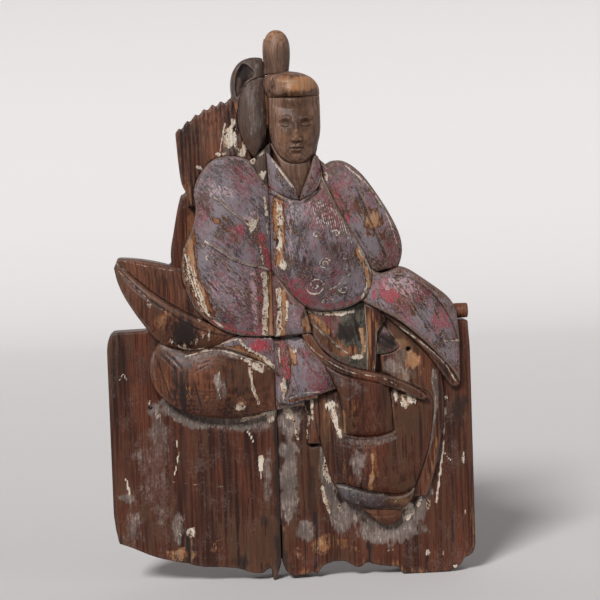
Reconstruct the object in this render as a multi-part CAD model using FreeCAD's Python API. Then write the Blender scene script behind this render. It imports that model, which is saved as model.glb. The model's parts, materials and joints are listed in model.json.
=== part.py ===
import FreeCAD, Part
import math
import os

# Carved and painted relief panel of a seated court guardian, in millimetres.
#
# Two upright boards are edge-joined with dowels and iron staples, and every carved
# mass of the figure (head, cap, sleeves, torso, knee, sword, hem and so on) is a block
# pegged to the front of the boards. The blocks meet face to face.
#
# The model stands upright: +Z is up, +X is to the viewer's right, and the carving
# faces -Y. The origin is the centre of the bounding box at its lowest level.
# Outlines are drawn on a front sheet in X and Z. A height is measured forwards
# from the flat back of the boards, so the back is height 0.

# ---- driving dimensions -------------------------------------------------------------

PANEL_WIDTH = 365.0            # across both boards
FIGURE_HEIGHT = 551.0          # from the foot of the boards to the top of the cap
BOARD_THICKNESS = 34.0

PEG_DIAMETER = 4.0             # bamboo pegs that hold the blocks
PEG_IN_BOARD = 9.0
PEG_IN_BLOCK = 4.5
PEG_CLEARANCE = 0.1            # on the radius, and at both ends

DOWEL_DIAMETER = 10.0          # dowels across the seam
DOWEL_LENGTH = 44.0
DOWEL_CLEARANCE = 0.15
DOWEL_LEVELS = (58.0, 165.0, 235.0, 352.0, 455.0)

STAPLE_LENGTH = 70.0           # iron staples across the seam, at the back
STAPLE_WIDTH = 8.0
STAPLE_THICKNESS = 3.0
STAPLE_LEG = 18.0
STAPLE_LEG_TIP = 2.0
STAPLE_RECESS = 0.4            # how far the staple lies below the back of the boards
STAPLE_CLEARANCE = 0.2
STAPLE_LEVELS = (110.0, 290.0, 410.0)

NAIL_HOLE_DIAMETER = 4.0       # old fixing holes right through the left board
NAIL_HOLES = {"upper": (-141.0, 180.0), "lower": (-118.0, 63.0)}
HIP_HOLE = (119.0, 230.0)      # blind old nail hole in the hip block
HIP_HOLE_DEPTH = 5.0           # below the rim of that block

KNOB_DIAMETER = 27.0           # upright knob of the cap
KNOB_AXIS_STANDOFF = 13.0      # its axis, in front of the boards
KNOB_TENON_DIAMETER = 11.0
KNOB_TENON_LENGTH = 12.0
TENON_CLEARANCE = 0.15

STUB_DIAMETER = 15.0           # broken end of a bar beside the right sleeve
STUB_TENON_DIAMETER = 8.0
STUB_TENON_LENGTH = 12.0
STUB_AXIS_DEPTH = 14.0         # its axis, behind the front of the boards
STUB_GAP = 1.0                 # between the bar and the corner of the board below it

POCKET_DEPTH = 9.0             # hollow inside the roll of the cap's tail

# How far each block stands off the boards, at its rim and at its crown, and where its
# peg is on the front sheet.
BLOCKS = {
    "head_block": (20.0, 38.0, (12.0, 455.0)),
    "cap_crown": (18.0, 37.0, (8.0, 494.0)),
    "side_lock": (12.0, 27.0, (-28.0, 465.0)),
    "cap_tail": (8.0, 17.0, (-28.0, 517.0)),
    "collar_right": (18.0, 27.0, (25.0, 401.0)),
    "collar_left": (16.0, 25.0, (-2.0, 401.0)),
    "neck_wedge": (14.0, 22.0, (13.0, 404.0)),
    "torso": (18.0, 40.0, (30.0, 340.0)),
    "left_cuff": (18.0, 31.0, (1.0, 270.0)),
    "left_sleeve": (14.0, 34.0, (-55.0, 345.0)),
    "nape_strip": (8.0, 12.0, (-21.5, 419.0)),
    "right_sleeve": (14.0, 30.0, (130.0, 265.0)),
    "right_shoulder": (10.0, 27.0, (80.0, 360.0)),
    "sleeve_lining": (8.0, 20.0, (130.0, 237.0)),
    "sword": (18.0, 24.0, (60.0, 211.0)),
    "sash_strap": (12.0, 18.0, (81.0, 252.0)),
    "sash_bow": (8.0, 15.0, (50.0, 250.0)),
    "sash_lobe": (8.0, 14.0, (95.0, 238.0)),
    "thigh_panel": (14.0, 30.0, (72.0, 172.0)),
    "hem_band": (12.0, 24.0, (90.0, 78.0)),
    "shin_skirt": (8.0, 20.0, (82.0, 118.0)),
    "shoe": (6.0, 14.0, (92.0, 62.0)),
    "hip_panel": (6.0, 11.0, (144.0, 190.0)),
    "front_panel": (10.0, 22.0, (12.0, 205.0)),
    "tassel": (6.0, 10.0, (22.0, 156.0)),
    "robe_flap_outer": (8.0, 23.0, (-110.0, 258.0)),
    "robe_flap_inner": (5.0, 9.0, (-115.0, 303.0)),
    "inner_skirt": (8.0, 13.0, (-40.0, 240.0)),
    "folded_knee": (8.0, 30.0, (-70.0, 208.0)),
    "arrow_sheaf": (8.0, 13.0, (-75.0, 445.0)),
}

# ---- the front sheet ----------------------------------------------------------------

SHEET_WIDTH = 365.0            # the outlines below are drawn on a sheet of this size
SHEET_HEIGHT = 551.0
ACROSS = PANEL_WIDTH / SHEET_WIDTH
UP = FIGURE_HEIGHT / SHEET_HEIGHT
TOTAL_DEPTH = BOARD_THICKNESS + max(crown for rim, crown, peg in BLOCKS.values())
BACK_Y = TOTAL_DEPTH / 2
LEFT, RIGHT = -SHEET_WIDTH / 2, SHEET_WIDTH / 2
SEAM = -15.0                   # the seam between the boards, on the sheet
CAP_LINE = 485.0               # lower edge of the cap on the forehead
HEAD_CENTRE = (12.0, 457.0)
HEAD_HALF_WIDTH = 25.5
CHIN_LEVEL = 419.0
ARROWS = 7                     # nocks along the top of the sheaf
STUB_SEAT, STUB_LEVEL = 168.0, 265.0
STUB_AXIS_HEIGHT = BOARD_THICKNESS - STUB_AXIS_DEPTH
STUB_SHELF = STUB_LEVEL - (STUB_DIAMETER / 2 + STUB_GAP) / UP
TAIL_TOP = 525.0
OVERLAP = 1.0                  # how far a cut or a crowned surface runs past its piece


def curve(*points):
    """A smooth run of an outline through the points."""
    return ("curve", points)


def line(*points):
    """A run of straight edges from point to point."""
    return ("line", points)


def arrow_tops():
    """The nocked upper edge of the arrow sheaf: a rising row of steps."""
    first, last = (-106.0, 453.0), (-47.0, 481.0)
    points = []
    for step in range(ARROWS):
        start = step / ARROWS
        x = first[0] + (last[0] - first[0]) * start
        z = first[1] + (last[1] - first[1]) * math.sin(start * math.pi / 2) ** 0.9
        pitch = (last[0] - first[0]) / ARROWS
        points += [(x, z), (x + 0.45 * pitch, z + 5.0), (x + 0.95 * pitch, z + 2.2)]
    return points + [last]


def head_outline():
    """An egg-shaped head: straight temples above, half an ellipse down to the chin."""
    x, z = HEAD_CENTRE
    drop = z - CHIN_LEVEL
    jaw = [(x + HEAD_HALF_WIDTH * math.cos(angle), z - drop * math.sin(angle))
           for angle in (math.pi * step / 8 for step in range(9))]
    left, right = x - HEAD_HALF_WIDTH, x + HEAD_HALF_WIDTH
    return [line((left, CAP_LINE), (right, CAP_LINE), (right, z)), curve(*jaw),
            line((left, z), (left, CAP_LINE))]


# The two boards have the silhouette of the whole figure.
BOARDS = {
    "left_board": [
        line((SEAM, 18), (-19, 7), (-22, 0), (-25, 0)),
        curve((-25, 0), (-28, 12), (-35, 8), (-47, 9), (-58, 13), (-84, 16), (-108, 20)),
        line((-108, 20), (-109.4, 46), (-110.6, 21)),
        curve((-110.6, 21), (-132, 26), (-147, 31), (-162, 38), (-178, 44)),
        line((-178, 44), (-181, 60), (LEFT, 75), (LEFT, 238), (-181.5, 247), (-179, 254),
             (-175, 257), (-139, 258)),
        curve((-139, 258), (-158, 285), (-166, 300), (-171, 317)),
        line((-171, 317), (-172, 322), (-168, 331)),
        curve((-168, 331), (-136, 327), (-114, 321)),
        curve((-114, 321), (-115, 336), (-112, 352), (-108, 372), (-103, 391)),
        line((-103, 391), (-97, 394)),
        curve((-97, 394), (-101, 401), (-103, 412), (-105, 437), (-106, 453)),
        line(*arrow_tops()),
        curve((-47, 481), (-49, 493), (-48, 508), (-41, 520), (-29, TAIL_TOP), (-17, 524)),
        line((-17, 524), (SEAM, 520), (SEAM, 18))],
    "right_board": [
        line((SEAM, 18), (SEAM, 507)),
        curve((SEAM, 507), (5, 510), (22, 507), (33, 500), (37.5, CAP_LINE)),
        curve((37.5, CAP_LINE), (37.5, 457), (36, 440), (33, 427)),
        line((33, 427), (39, 420), (43, 416)),
        curve((43, 416), (54, 421), (68, 415), (86, 394), (105, 363), (115, 338), (111, 313)),
        curve((111, 313), (129, 305), (148, 291), (165, 274)),
        line((165, 274), (STUB_SEAT, 273), (STUB_SEAT, STUB_SHELF), (181, STUB_SHELF - 0.5),
             (RIGHT, 225), (RIGHT, 28), (181, 21), (177, 16), (170, 14)),
        curve((170, 14), (164, 5), (152, 1), (140, 0)),
        line((140, 0), (108, 0), (102, 8), (88, 9), (72, 13), (71, 36), (69.6, 14)),
        curve((69.6, 14), (61, 9), (51, 15), (38, 16), (28, 13), (21, 3)),
        line((21, 3), (17, 7), (8, 4), (-5, 3), (-11, 8), (SEAM, 18))],
}

# The blocks, from the front-most to the rear-most. Where two outlines overlap, the one
# that comes first keeps the ground, so a rear block may be drawn on beneath it.
OUTLINES = {
    "head_block": head_outline(),
    "cap_crown": [
        curve((-18, 498), (-14, 507), (-5, 509.5), (8, 510), (22, 507), (33, 500),
              (37.5, CAP_LINE)),
        line((37.5, CAP_LINE), (-14, CAP_LINE), (-18, 498))],
    "side_lock": [
        curve((-17, 505), (-26, 504), (-36, 497), (-42, 481), (-44, 465), (-41, 448),
              (-29, 426)),
        curve((-29, 426), (-20, 441), (-13.5, 460)),
        line((-13.5, 460), (-13.5, 488), (-17, 505))],
    "cap_tail": [
        curve((-17, 524), (-29, TAIL_TOP), (-41, 520), (-48, 508), (-49, 493), (-47, 478),
              (-43, 466)),
        curve((-43, 466), (-38, 468), (-34, 480)),
        line((-34, 480), (-24, 494), (-15.5, 505), (-17, 524))],
    "collar_right": [
        curve((14, 383), (19, 398), (24, 410), (29, 428)),
        line((29, 428), (34, 426), (37, 411)),
        curve((37, 411), (34.5, 398), (27, 389), (14, 383))],
    "collar_left": [
        curve((-17, 433), (-7, 420), (2, 409), (9, 397), (14, 383)),
        curve((14, 383), (3, 385), (-6, 390), (SEAM, 396)),
        line((SEAM, 396), (-17, 433))],
    "neck_wedge": [line((-13, 440), (33, 440), (30, 410), (14, 386), (5, 397), (-13, 440))],
    "torso": [
        line((SEAM, 397), (14, 382), (34, 394), (35, 412)),
        curve((35, 412), (46, 384), (60, 356), (73, 334), (82, 315), (83, 299), (72, 281)),
        curve((72, 281), (56, 274), (37, 272), (20, 275), (9, 283), (SEAM, 313)),
        line((SEAM, 313), (SEAM, 397))],
    "left_cuff": [
        line((SEAM, 320), (12, 285)),
        curve((12, 285), (17, 272), (22, 251)),
        line((22, 251), (SEAM, 248), (SEAM, 320))],
    "left_sleeve": [
        curve((-90, 390), (-88, 403), (-81, 415), (-69, 426), (-52, 429), (-34, 424)),
        curve((-34, 424), (-28, 413), (-22, 404), (SEAM, 396)),
        line((SEAM, 396), (SEAM, 249)),
        curve((SEAM, 249), (-34, 249), (-51, 251), (-65, 256), (-79, 265), (-90, 275),
              (-98, 289), (-104, 306), (-105, 324), (-100, 344), (-93, 359), (-89, 374),
              (-90, 390))],
    "nape_strip": [line((-34, 424), (-29, 426), (-12, 442), (-14, 396), (-26, 396),
                        (-34, 424))],
    "right_sleeve": [
        line((68, 321), (84, 312)),
        curve((84, 312), (97, 308), (111, 313), (129, 305), (148, 291), (164, 275),
              (169, 255), (170, 225), (170, 193)),
        curve((170, 193), (162, 207), (151, 220), (138, 234), (124, 247), (110, 259),
              (94, 269), (70, 282)),
        line((70, 282), (68, 321))],
    "right_shoulder": [
        line((35, 423), (39, 420), (43, 416)),
        curve((43, 416), (54, 421), (68, 415), (86, 394), (105, 363), (115, 338), (111, 313)),
        line((111, 313), (70, 305), (40, 380), (35, 404), (35, 423))],
    "sleeve_lining": [
        line((84, 290), (122, 271), (163, 230), (170, 193)),
        curve((170, 193), (166, 190), (161, 190)),
        curve((161, 190), (150, 206), (136, 226), (122, 241), (108, 254), (93, 266)),
        line((93, 266), (84, 290))],
    "sword": [
        curve((11, 250), (20, 250), (29, 237), (41, 225), (57, 216), (76, 210), (96, 205),
              (114, 197), (127, 190), (136, 182)),
        curve((136, 182), (132, 179), (121, 183), (104, 191), (87, 198), (69, 203),
              (50, 209), (32, 221), (19, 236), (11, 250))],
    "sash_strap": [line((75, 290), (86, 290), (96, 261), (87, 249), (84, 205), (76, 205),
                        (77, 246), (75, 290))],
    "sash_bow": [line((8, 290), (80, 290), (80, 205), (55, 212), (20, 245), (8, 290))],
    "sash_lobe": [
        line((85, 252), (94, 257), (110, 233)),
        curve((110, 233), (102, 228), (93, 226), (85, 225)),
        line((85, 225), (85, 252))],
    "thigh_panel": [
        line((22, 240), (36, 226), (53, 212.5), (72, 206.5), (96, 199)),
        curve((96, 199), (98, 188), (100, 170), (101, 149)),
        curve((101, 149), (88, 145), (73, 144), (58, 146), (50, 149)),
        curve((50, 149), (50, 168), (47, 186), (41, 202), (32, 220), (22, 240))],
    "hem_band": [
        curve((40, 97), (52, 96), (63, 92), (76, 88), (90, 85), (108, 84), (121, 91)),
        curve((121, 91), (117, 79), (109, 70)),
        curve((109, 70), (90, 70), (70, 73), (57, 77), (46, 83)),
        line((46, 83), (40, 97))],
    "shin_skirt": [
        line((26, 188), (55, 196), (109, 196), (137, 187)),
        curve((137, 187), (142, 177), (141, 155), (137, 134), (130, 114), (123, 96),
              (116, 80)),
        line((116, 80), (60, 80), (43, 90)),
        curve((43, 90), (36, 104), (32, 121), (28, 138), (27, 162), (26, 188))],
    "shoe": [
        line((57, 84), (109, 84), (108, 68)),
        curve((108, 68), (107, 61), (102, 55)),
        curve((102, 55), (94, 52), (86, 54), (77, 62), (69, 69), (57, 79)),
        line((57, 79), (57, 84))],
    "hip_panel": [
        line((86, 262), (108, 264), (128, 244), (150, 213)),
        curve((150, 213), (153, 195), (154, 172), (150, 140), (143, 108), (133, 80)),
        line((133, 80), (112, 80), (100, 130), (86, 262))],
    "front_panel": [
        line((SEAM, 255), (8, 255), (14, 246), (26, 231), (42, 216), (52, 208), (52, 184)),
        curve((52, 184), (35, 185), (22, 184), (12, 182)),
        line((12, 182), (13, 177)),
        curve((13, 177), (-1, 176), (SEAM, 174)),
        line((SEAM, 174), (SEAM, 255))],
    "tassel": [
        line((17.5, 190), (27, 190)),
        curve((27, 190), (27, 168), (30.5, 145)),
        line((30.5, 145), (30, 137.5), (15, 138), (15, 145)),
        curve((15, 145), (18, 164), (17.5, 190))],
    "robe_flap_outer": [
        line((-171, 317), (-172, 322), (-169, 327)),
        curve((-169, 327), (-149, 309), (-127, 291), (-103, 276), (-78, 263), (-48, 251)),
        curve((-48, 251), (-63, 246), (-76, 240), (-90, 237), (-109, 238), (-127, 245),
              (-141, 260), (-158, 285), (-166, 300), (-171, 317))],
    "robe_flap_inner": [
        line((-169, 323), (-168, 331)),
        curve((-168, 331), (-136, 327), (-114, 321)),
        line((-114, 321), (-90, 317), (-60, 252), (-100, 270), (-169, 323))],
    "inner_skirt": [
        line((-90, 270), (SEAM, 270), (SEAM, 211)),
        curve((SEAM, 211), (-28, 222), (-44, 230), (-60, 236), (-78, 240)),
        line((-78, 240), (-90, 270))],
    "folded_knee": [
        curve((-140, 226), (-136, 238), (-129, 247)),
        line((-129, 247), (-113, 256), (-60, 256), (SEAM, 240), (SEAM, 174)),
        curve((SEAM, 174), (-32, 171), (-54, 167), (-77, 168), (-102, 174), (-119, 183),
              (-133, 196), (-140, 212), (-140, 226))],
    "arrow_sheaf": [
        line(*arrow_tops()),
        line((-47, 481), (-40, 450), (-26, 410), (-40, 380), (-97, 380), (-97, 394)),
        curve((-97, 394), (-101, 401), (-103, 412), (-105, 437), (-106, 453))],
}

TAIL_POCKET = [curve((-36, 519), (-29, 514), (-26, 508), (-33, 503), (-39, 493), (-43, 487),
                     (-45, 500), (-42, 512), (-36, 519))]

# Half the knob's profile, as shares of its radius and of its height.
KNOB_FOOT, KNOB_TOP = 507.0, 551.0
KNOB_AXIS = -3.5
KNOB_AXIS_HEIGHT = BOARD_THICKNESS + KNOB_AXIS_STANDOFF
KNOB_PROFILE = [(0.84, 0.0), (0.96, 0.3), (1.0, 0.55), (0.86, 0.8), (0.5, 0.95), (0.0, 1.0)]


# ---- tools for the shapes -----------------------------------------------------------

def at(x, z, height=0.0):
    """A point of the front sheet, at a height above the back."""
    return FreeCAD.Vector(x * ACROSS, BACK_Y - height, z * UP)


def face_of(outline):
    """The flat face inside a closed outline, at height 0."""
    edges = []
    for kind, points in outline:
        places = [at(x, z) for x, z in points]
        if kind == "curve":
            spline = Part.BSplineCurve()
            spline.interpolate(places)
            edges.append(spline.toShape())
        else:
            edges += [Part.makeLine(a, b) for a, b in zip(places, places[1:])]
    return Part.Face(Part.Wire(edges))


def raised(face, low, high):
    """The prism of a face from one height to another."""
    start = face.copy()
    start.translate(FreeCAD.Vector(0, -low, 0))
    return start.extrude(FreeCAD.Vector(0, low - high, 0))


def under_crown(face, rim, crown):
    """Everything behind a crowned surface that covers a face.

    The surface is at the rim height along its four sides and at the crown height
    in the middle of the face's box.
    """
    box = face.BoundBox
    xs = (box.XMin - OVERLAP, (box.XMin + box.XMax) / 2, box.XMax + OVERLAP)
    zs = (box.ZMin - OVERLAP, (box.ZMin + box.ZMax) / 2, box.ZMax + OVERLAP)
    middle = 4 * crown - 3 * rim
    surface = Part.BezierSurface()
    surface.increase(2, 2)
    for i, x in enumerate(xs):
        for j, z in enumerate(zs):
            height = middle if i == j == 1 else rim
            surface.setPole(i + 1, j + 1, FreeCAD.Vector(x, BACK_Y - height, z))
    return surface.toShape().extrude(FreeCAD.Vector(0, TOTAL_DEPTH, 0))


def rod(x, z, low, high, diameter):
    """A round rod that points forwards, from one height to another."""
    return Part.makeCylinder(diameter / 2, high - low, at(x, z, low),
                             FreeCAD.Vector(0, -1, 0))


def only_solid(shape, name):
    """The one solid of a shape."""
    if len(shape.Solids) != 1:
        raise ValueError("%s has %d solids" % (name, len(shape.Solids)))
    return shape.Solids[0]


# ---- the joints between the pieces --------------------------------------------------

def pegs(grow=0.0):
    """The blocks' pegs, or with grow the holes that they sit in."""
    diameter = PEG_DIAMETER + 2 * grow
    return {name: rod(x, z, BOARD_THICKNESS - PEG_IN_BOARD - grow,
                      BOARD_THICKNESS + PEG_IN_BLOCK + grow, diameter)
            for name, (rim, crown, (x, z)) in BLOCKS.items()}


def seam_dowels(grow=0.0):
    """The dowels across the seam, or with grow their holes."""
    length = DOWEL_LENGTH + 2 * grow
    solids = []
    for level in DOWEL_LEVELS:
        start = at(SEAM, level, BOARD_THICKNESS / 2) - FreeCAD.Vector(length / 2, 0, 0)
        solids.append(Part.makeCylinder(DOWEL_DIAMETER / 2 + grow, length, start,
                                        FreeCAD.Vector(1, 0, 0)))
    return solids


def staple_leg(x, level, grow):
    """A staple's leg, which tapers forwards into the board."""
    root = (STAPLE_RECESS - grow, STAPLE_THICKNESS, STAPLE_WIDTH / 2)
    tip = (STAPLE_LEG + grow, STAPLE_LEG_TIP / 2, STAPLE_LEG_TIP / 2)
    sections = []
    for height, half_x, half_z in (root, tip):
        middle = at(SEAM, level, height) + FreeCAD.Vector(x, 0, 0)
        corners = [middle + FreeCAD.Vector(a * (half_x + grow), 0, b * (half_z + grow))
                   for a, b in ((-1, -1), (1, -1), (1, 1), (-1, 1), (-1, -1))]
        sections.append(Part.makePolygon(corners))
    return Part.makeLoft(sections, True, True)


def back_staples(grow=0.0, open_back=0.0):
    """The iron staples across the seam, or with grow and open_back their recesses."""
    solids = []
    for level in STAPLE_LEVELS:
        low = STAPLE_RECESS - open_back
        size = (STAPLE_LENGTH + 2 * grow, STAPLE_THICKNESS + open_back + grow,
                STAPLE_WIDTH + 2 * grow)
        corner = at(SEAM, level, low + size[1]) - FreeCAD.Vector(size[0] / 2, 0, size[2] / 2)
        bar = Part.makeBox(*size, corner)
        reach = STAPLE_LENGTH / 2 - STAPLE_THICKNESS
        legs = [staple_leg(side * reach, level, grow) for side in (-1, 1)]
        solids.append(bar.fuse(legs).removeSplitter())
    return solids


def knob_tenon(grow=0.0):
    """The knob's tenon, which stands in the crown of the cap."""
    length = KNOB_TENON_LENGTH + grow
    foot = at(KNOB_AXIS, KNOB_FOOT, KNOB_AXIS_HEIGHT) - FreeCAD.Vector(0, 0, length)
    return Part.makeCylinder(KNOB_TENON_DIAMETER / 2 + grow, length + OVERLAP, foot)


def stub_tenon(grow=0.0):
    """The bar stub's tenon, which enters the edge of the right board."""
    length = STUB_TENON_LENGTH + grow
    start = at(STUB_SEAT, STUB_LEVEL, STUB_AXIS_HEIGHT) - FreeCAD.Vector(length, 0, 0)
    return Part.makeCylinder(STUB_TENON_DIAMETER / 2 + grow, length + OVERLAP, start,
                             FreeCAD.Vector(1, 0, 0))


# ---- the pieces ---------------------------------------------------------------------

def boards(knob):
    """The two boards, with every hole and recess that their joints need."""
    cuts = [knob] + list(pegs(PEG_CLEARANCE).values()) + seam_dowels(DOWEL_CLEARANCE)
    cuts += back_staples(STAPLE_CLEARANCE, open_back=STAPLE_RECESS + OVERLAP)
    cuts += [rod(x, z, -OVERLAP, BOARD_THICKNESS + OVERLAP, NAIL_HOLE_DIAMETER)
             for x, z in NAIL_HOLES.values()]
    cuts.append(stub_tenon(TENON_CLEARANCE))
    made = {}
    for name, outline in BOARDS.items():
        board = raised(face_of(outline), 0, BOARD_THICKNESS).cut(cuts)
        made[name] = only_solid(board, name)
    return made


def cap_knob():
    """The cap's upright knob, turned about its own axis, with its tenon."""
    foot = at(KNOB_AXIS, KNOB_FOOT, KNOB_AXIS_HEIGHT)
    tall = (KNOB_TOP - KNOB_FOOT) * UP
    side = [foot + FreeCAD.Vector(share * KNOB_DIAMETER / 2, 0, rise * tall)
            for share, rise in KNOB_PROFILE]
    spline = Part.BSplineCurve()
    spline.interpolate(side)
    base = Part.makeLine(foot, side[0])
    axis = Part.makeLine(side[-1], foot)
    half = Part.Face(Part.Wire([base, spline.toShape(), axis]))
    knob = half.revolve(foot, FreeCAD.Vector(0, 0, 1), 360)
    return Part.Solid(knob.Shells[0]).fuse(knob_tenon()).removeSplitter()


def bar_stub():
    """The broken end of a bar, with its tenon."""
    start = at(STUB_SEAT, STUB_LEVEL, STUB_AXIS_HEIGHT)
    length = (RIGHT - STUB_SEAT) * ACROSS
    bar = Part.makeCylinder(STUB_DIAMETER / 2, length, start, FreeCAD.Vector(1, 0, 0))
    return bar.fuse(stub_tenon()).removeSplitter()


def blocks(knob):
    """The carved blocks: each one keeps the ground that no block in front has taken."""
    made = {}
    taken = []
    holes = pegs(PEG_CLEARANCE)
    for name, outline in OUTLINES.items():
        rim, crown, peg = BLOCKS[name]
        whole = face_of(outline)
        ground = whole.cut(taken) if taken else whole
        taken.append(whole)
        if len(ground.Faces) != 1:
            raise ValueError("%s is in %d pieces" % (name, len(ground.Faces)))
        block = raised(ground.Faces[0], BOARD_THICKNESS, TOTAL_DEPTH + OVERLAP)
        block = block.common(under_crown(whole, BOARD_THICKNESS + rim,
                                         BOARD_THICKNESS + crown))
        made[name] = block.cut(holes[name])
    floor = BOARD_THICKNESS + BLOCKS["cap_tail"][1] - POCKET_DEPTH
    made["cap_tail"] = made["cap_tail"].cut(raised(face_of(TAIL_POCKET), floor, TOTAL_DEPTH))
    made["cap_crown"] = made["cap_crown"].cut(knob_tenon(TENON_CLEARANCE))
    x, z = HIP_HOLE
    floor = BOARD_THICKNESS + BLOCKS["hip_panel"][0] - HIP_HOLE_DEPTH
    made["hip_panel"] = made["hip_panel"].cut(rod(x, z, floor, TOTAL_DEPTH,
                                                  NAIL_HOLE_DIAMETER))
    for name in made:
        made[name] = only_solid(made[name].cut(knob), name)
    return made


def main():
    knob = cap_knob()
    pieces = boards(knob)
    pieces.update(blocks(knob))
    pieces["cap_knob"] = knob
    pieces["bar_stub"] = bar_stub()
    pieces["seam_dowels"] = Part.makeCompound(seam_dowels())
    pieces["back_staples"] = Part.makeCompound(back_staples())
    pieces["block_pegs"] = Part.makeCompound(list(pegs().values()))
    os.makedirs("parts", exist_ok=True)
    for name, shape in pieces.items():
        shape.exportStep("parts/%s.step" % name)
    print("%d pieces" % len(pieces))


main()
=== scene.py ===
import json
import math

import bmesh
import bpy
import numpy as np
from bpy.props import FloatProperty, FloatVectorProperty, PointerProperty
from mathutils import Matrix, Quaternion, Vector
from mathutils.bvhtree import BVHTree
from mathutils.kdtree import KDTree


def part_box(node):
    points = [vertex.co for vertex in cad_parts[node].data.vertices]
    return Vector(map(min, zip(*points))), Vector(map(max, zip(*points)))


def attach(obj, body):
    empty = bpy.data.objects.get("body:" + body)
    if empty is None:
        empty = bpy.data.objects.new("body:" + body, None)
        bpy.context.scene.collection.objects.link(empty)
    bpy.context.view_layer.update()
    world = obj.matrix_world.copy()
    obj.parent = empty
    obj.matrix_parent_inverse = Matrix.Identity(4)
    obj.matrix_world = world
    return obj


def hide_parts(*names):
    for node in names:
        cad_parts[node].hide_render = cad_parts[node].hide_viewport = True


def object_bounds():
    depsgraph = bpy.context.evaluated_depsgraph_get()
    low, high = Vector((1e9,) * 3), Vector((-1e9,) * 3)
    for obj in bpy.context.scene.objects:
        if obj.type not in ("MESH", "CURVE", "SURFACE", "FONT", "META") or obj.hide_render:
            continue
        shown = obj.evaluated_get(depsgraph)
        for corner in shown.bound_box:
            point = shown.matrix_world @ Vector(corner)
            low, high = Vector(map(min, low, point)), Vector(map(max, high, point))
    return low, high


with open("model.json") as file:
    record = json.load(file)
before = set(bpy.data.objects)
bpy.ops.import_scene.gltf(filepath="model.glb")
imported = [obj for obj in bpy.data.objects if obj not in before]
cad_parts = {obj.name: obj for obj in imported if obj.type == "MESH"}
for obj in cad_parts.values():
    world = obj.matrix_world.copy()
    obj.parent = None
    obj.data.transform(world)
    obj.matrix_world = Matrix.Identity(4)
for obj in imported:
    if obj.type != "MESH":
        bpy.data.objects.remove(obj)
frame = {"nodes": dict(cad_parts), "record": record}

bl_info = {
    "name": "Carved guardian panel",
    "version": (1, 0, 0),
    "blender": (4, 5, 0),
    "location": "View3D > Sidebar > Carving",
    "description": "Carves, paints and lights the relief panel of a seated court guardian",
    "category": "Add Mesh",
}

CAD_LOW, CAD_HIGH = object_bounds()
MM = 1000.0
BACK = CAD_HIGH.y * MM                                   # the flat back of the boards
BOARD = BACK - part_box("left_board")[0].y * MM            # thickness of the boards
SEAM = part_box("left_board")[1].x * MM                    # where the two boards meet
COATS = ("bare", "gesso", "crimson", "pale", "line", "grime", "ochre")
SMALL_CELL = 0.0009         # facets of the small blocks, in metres
GRAIN_DEPTH = 0.0006        # relief of grain and flaking paint, in metres
THIN_BLOCK, THIN_BOARD = 0.8, 4.0       # least wood left by the tools, in millimetres
SUNK_INTO_BOARD = 5.0       # how far a block's lower faces reach into the boards, in millimetres
FINE_BLUR, BROAD_BLUR = 2, 8            # rounds of blurring at which hollows are read
AIM_ASIDE, AIM_HEIGHT = 0.012, 0.5135   # camera's aim: metres beside the middle, share of height
CAMERA_TURN, CAMERA_LIFT, CAMERA_ROLL = -3.5, 4.0, -2.0     # degrees
FLOOR_SIDE, FLOOR_FRONT, FLOOR_BEND = -7, -6, 2.6           # edges of the floor, in metres
FLOOR_CURVE, FLOOR_RISE, FLOOR_WIDTH = 1.0, 3.0, 14         # metres
ROOM_STRENGTH = 0.27


# ---- numbers a user would change ----------------------------------------------------

def colour(name, description, default):
    return FloatVectorProperty(name=name, description=description, default=default,
                               size=3, min=0.0, max=1.0, subtype="COLOR")


def length(name, description, default):
    return FloatProperty(name=name, description=description, default=default,
                         min=0.0, unit="LENGTH", subtype="DISTANCE")


class CarvingSizes(bpy.types.PropertyGroup):
    """How finely the blocks are carved, and how their edges are worked."""
    block_cell: length("Block detail", "Size of the facets of the carved blocks", 0.001)
    board_cell: length("Board detail", "Size of the facets of the boards", 0.0017)
    face_cell: length("Face detail", "Size of the facets of the head", 0.0007)
    edge_round: length("Edge rounding", "Radius of the carved edges", 0.0035)
    gouge_depth: length("Gouge marks", "Depth of the gouge's facets", 0.00035)
    seam_gap: length("Seam gap", "Half of the gap between the boards", 0.0006)
    ring_gap: length("Growth rings", "Distance from one growth ring to the next", 0.0027)
    view_distance: length("View distance", "From the camera to the panel", 2.0)


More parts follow.
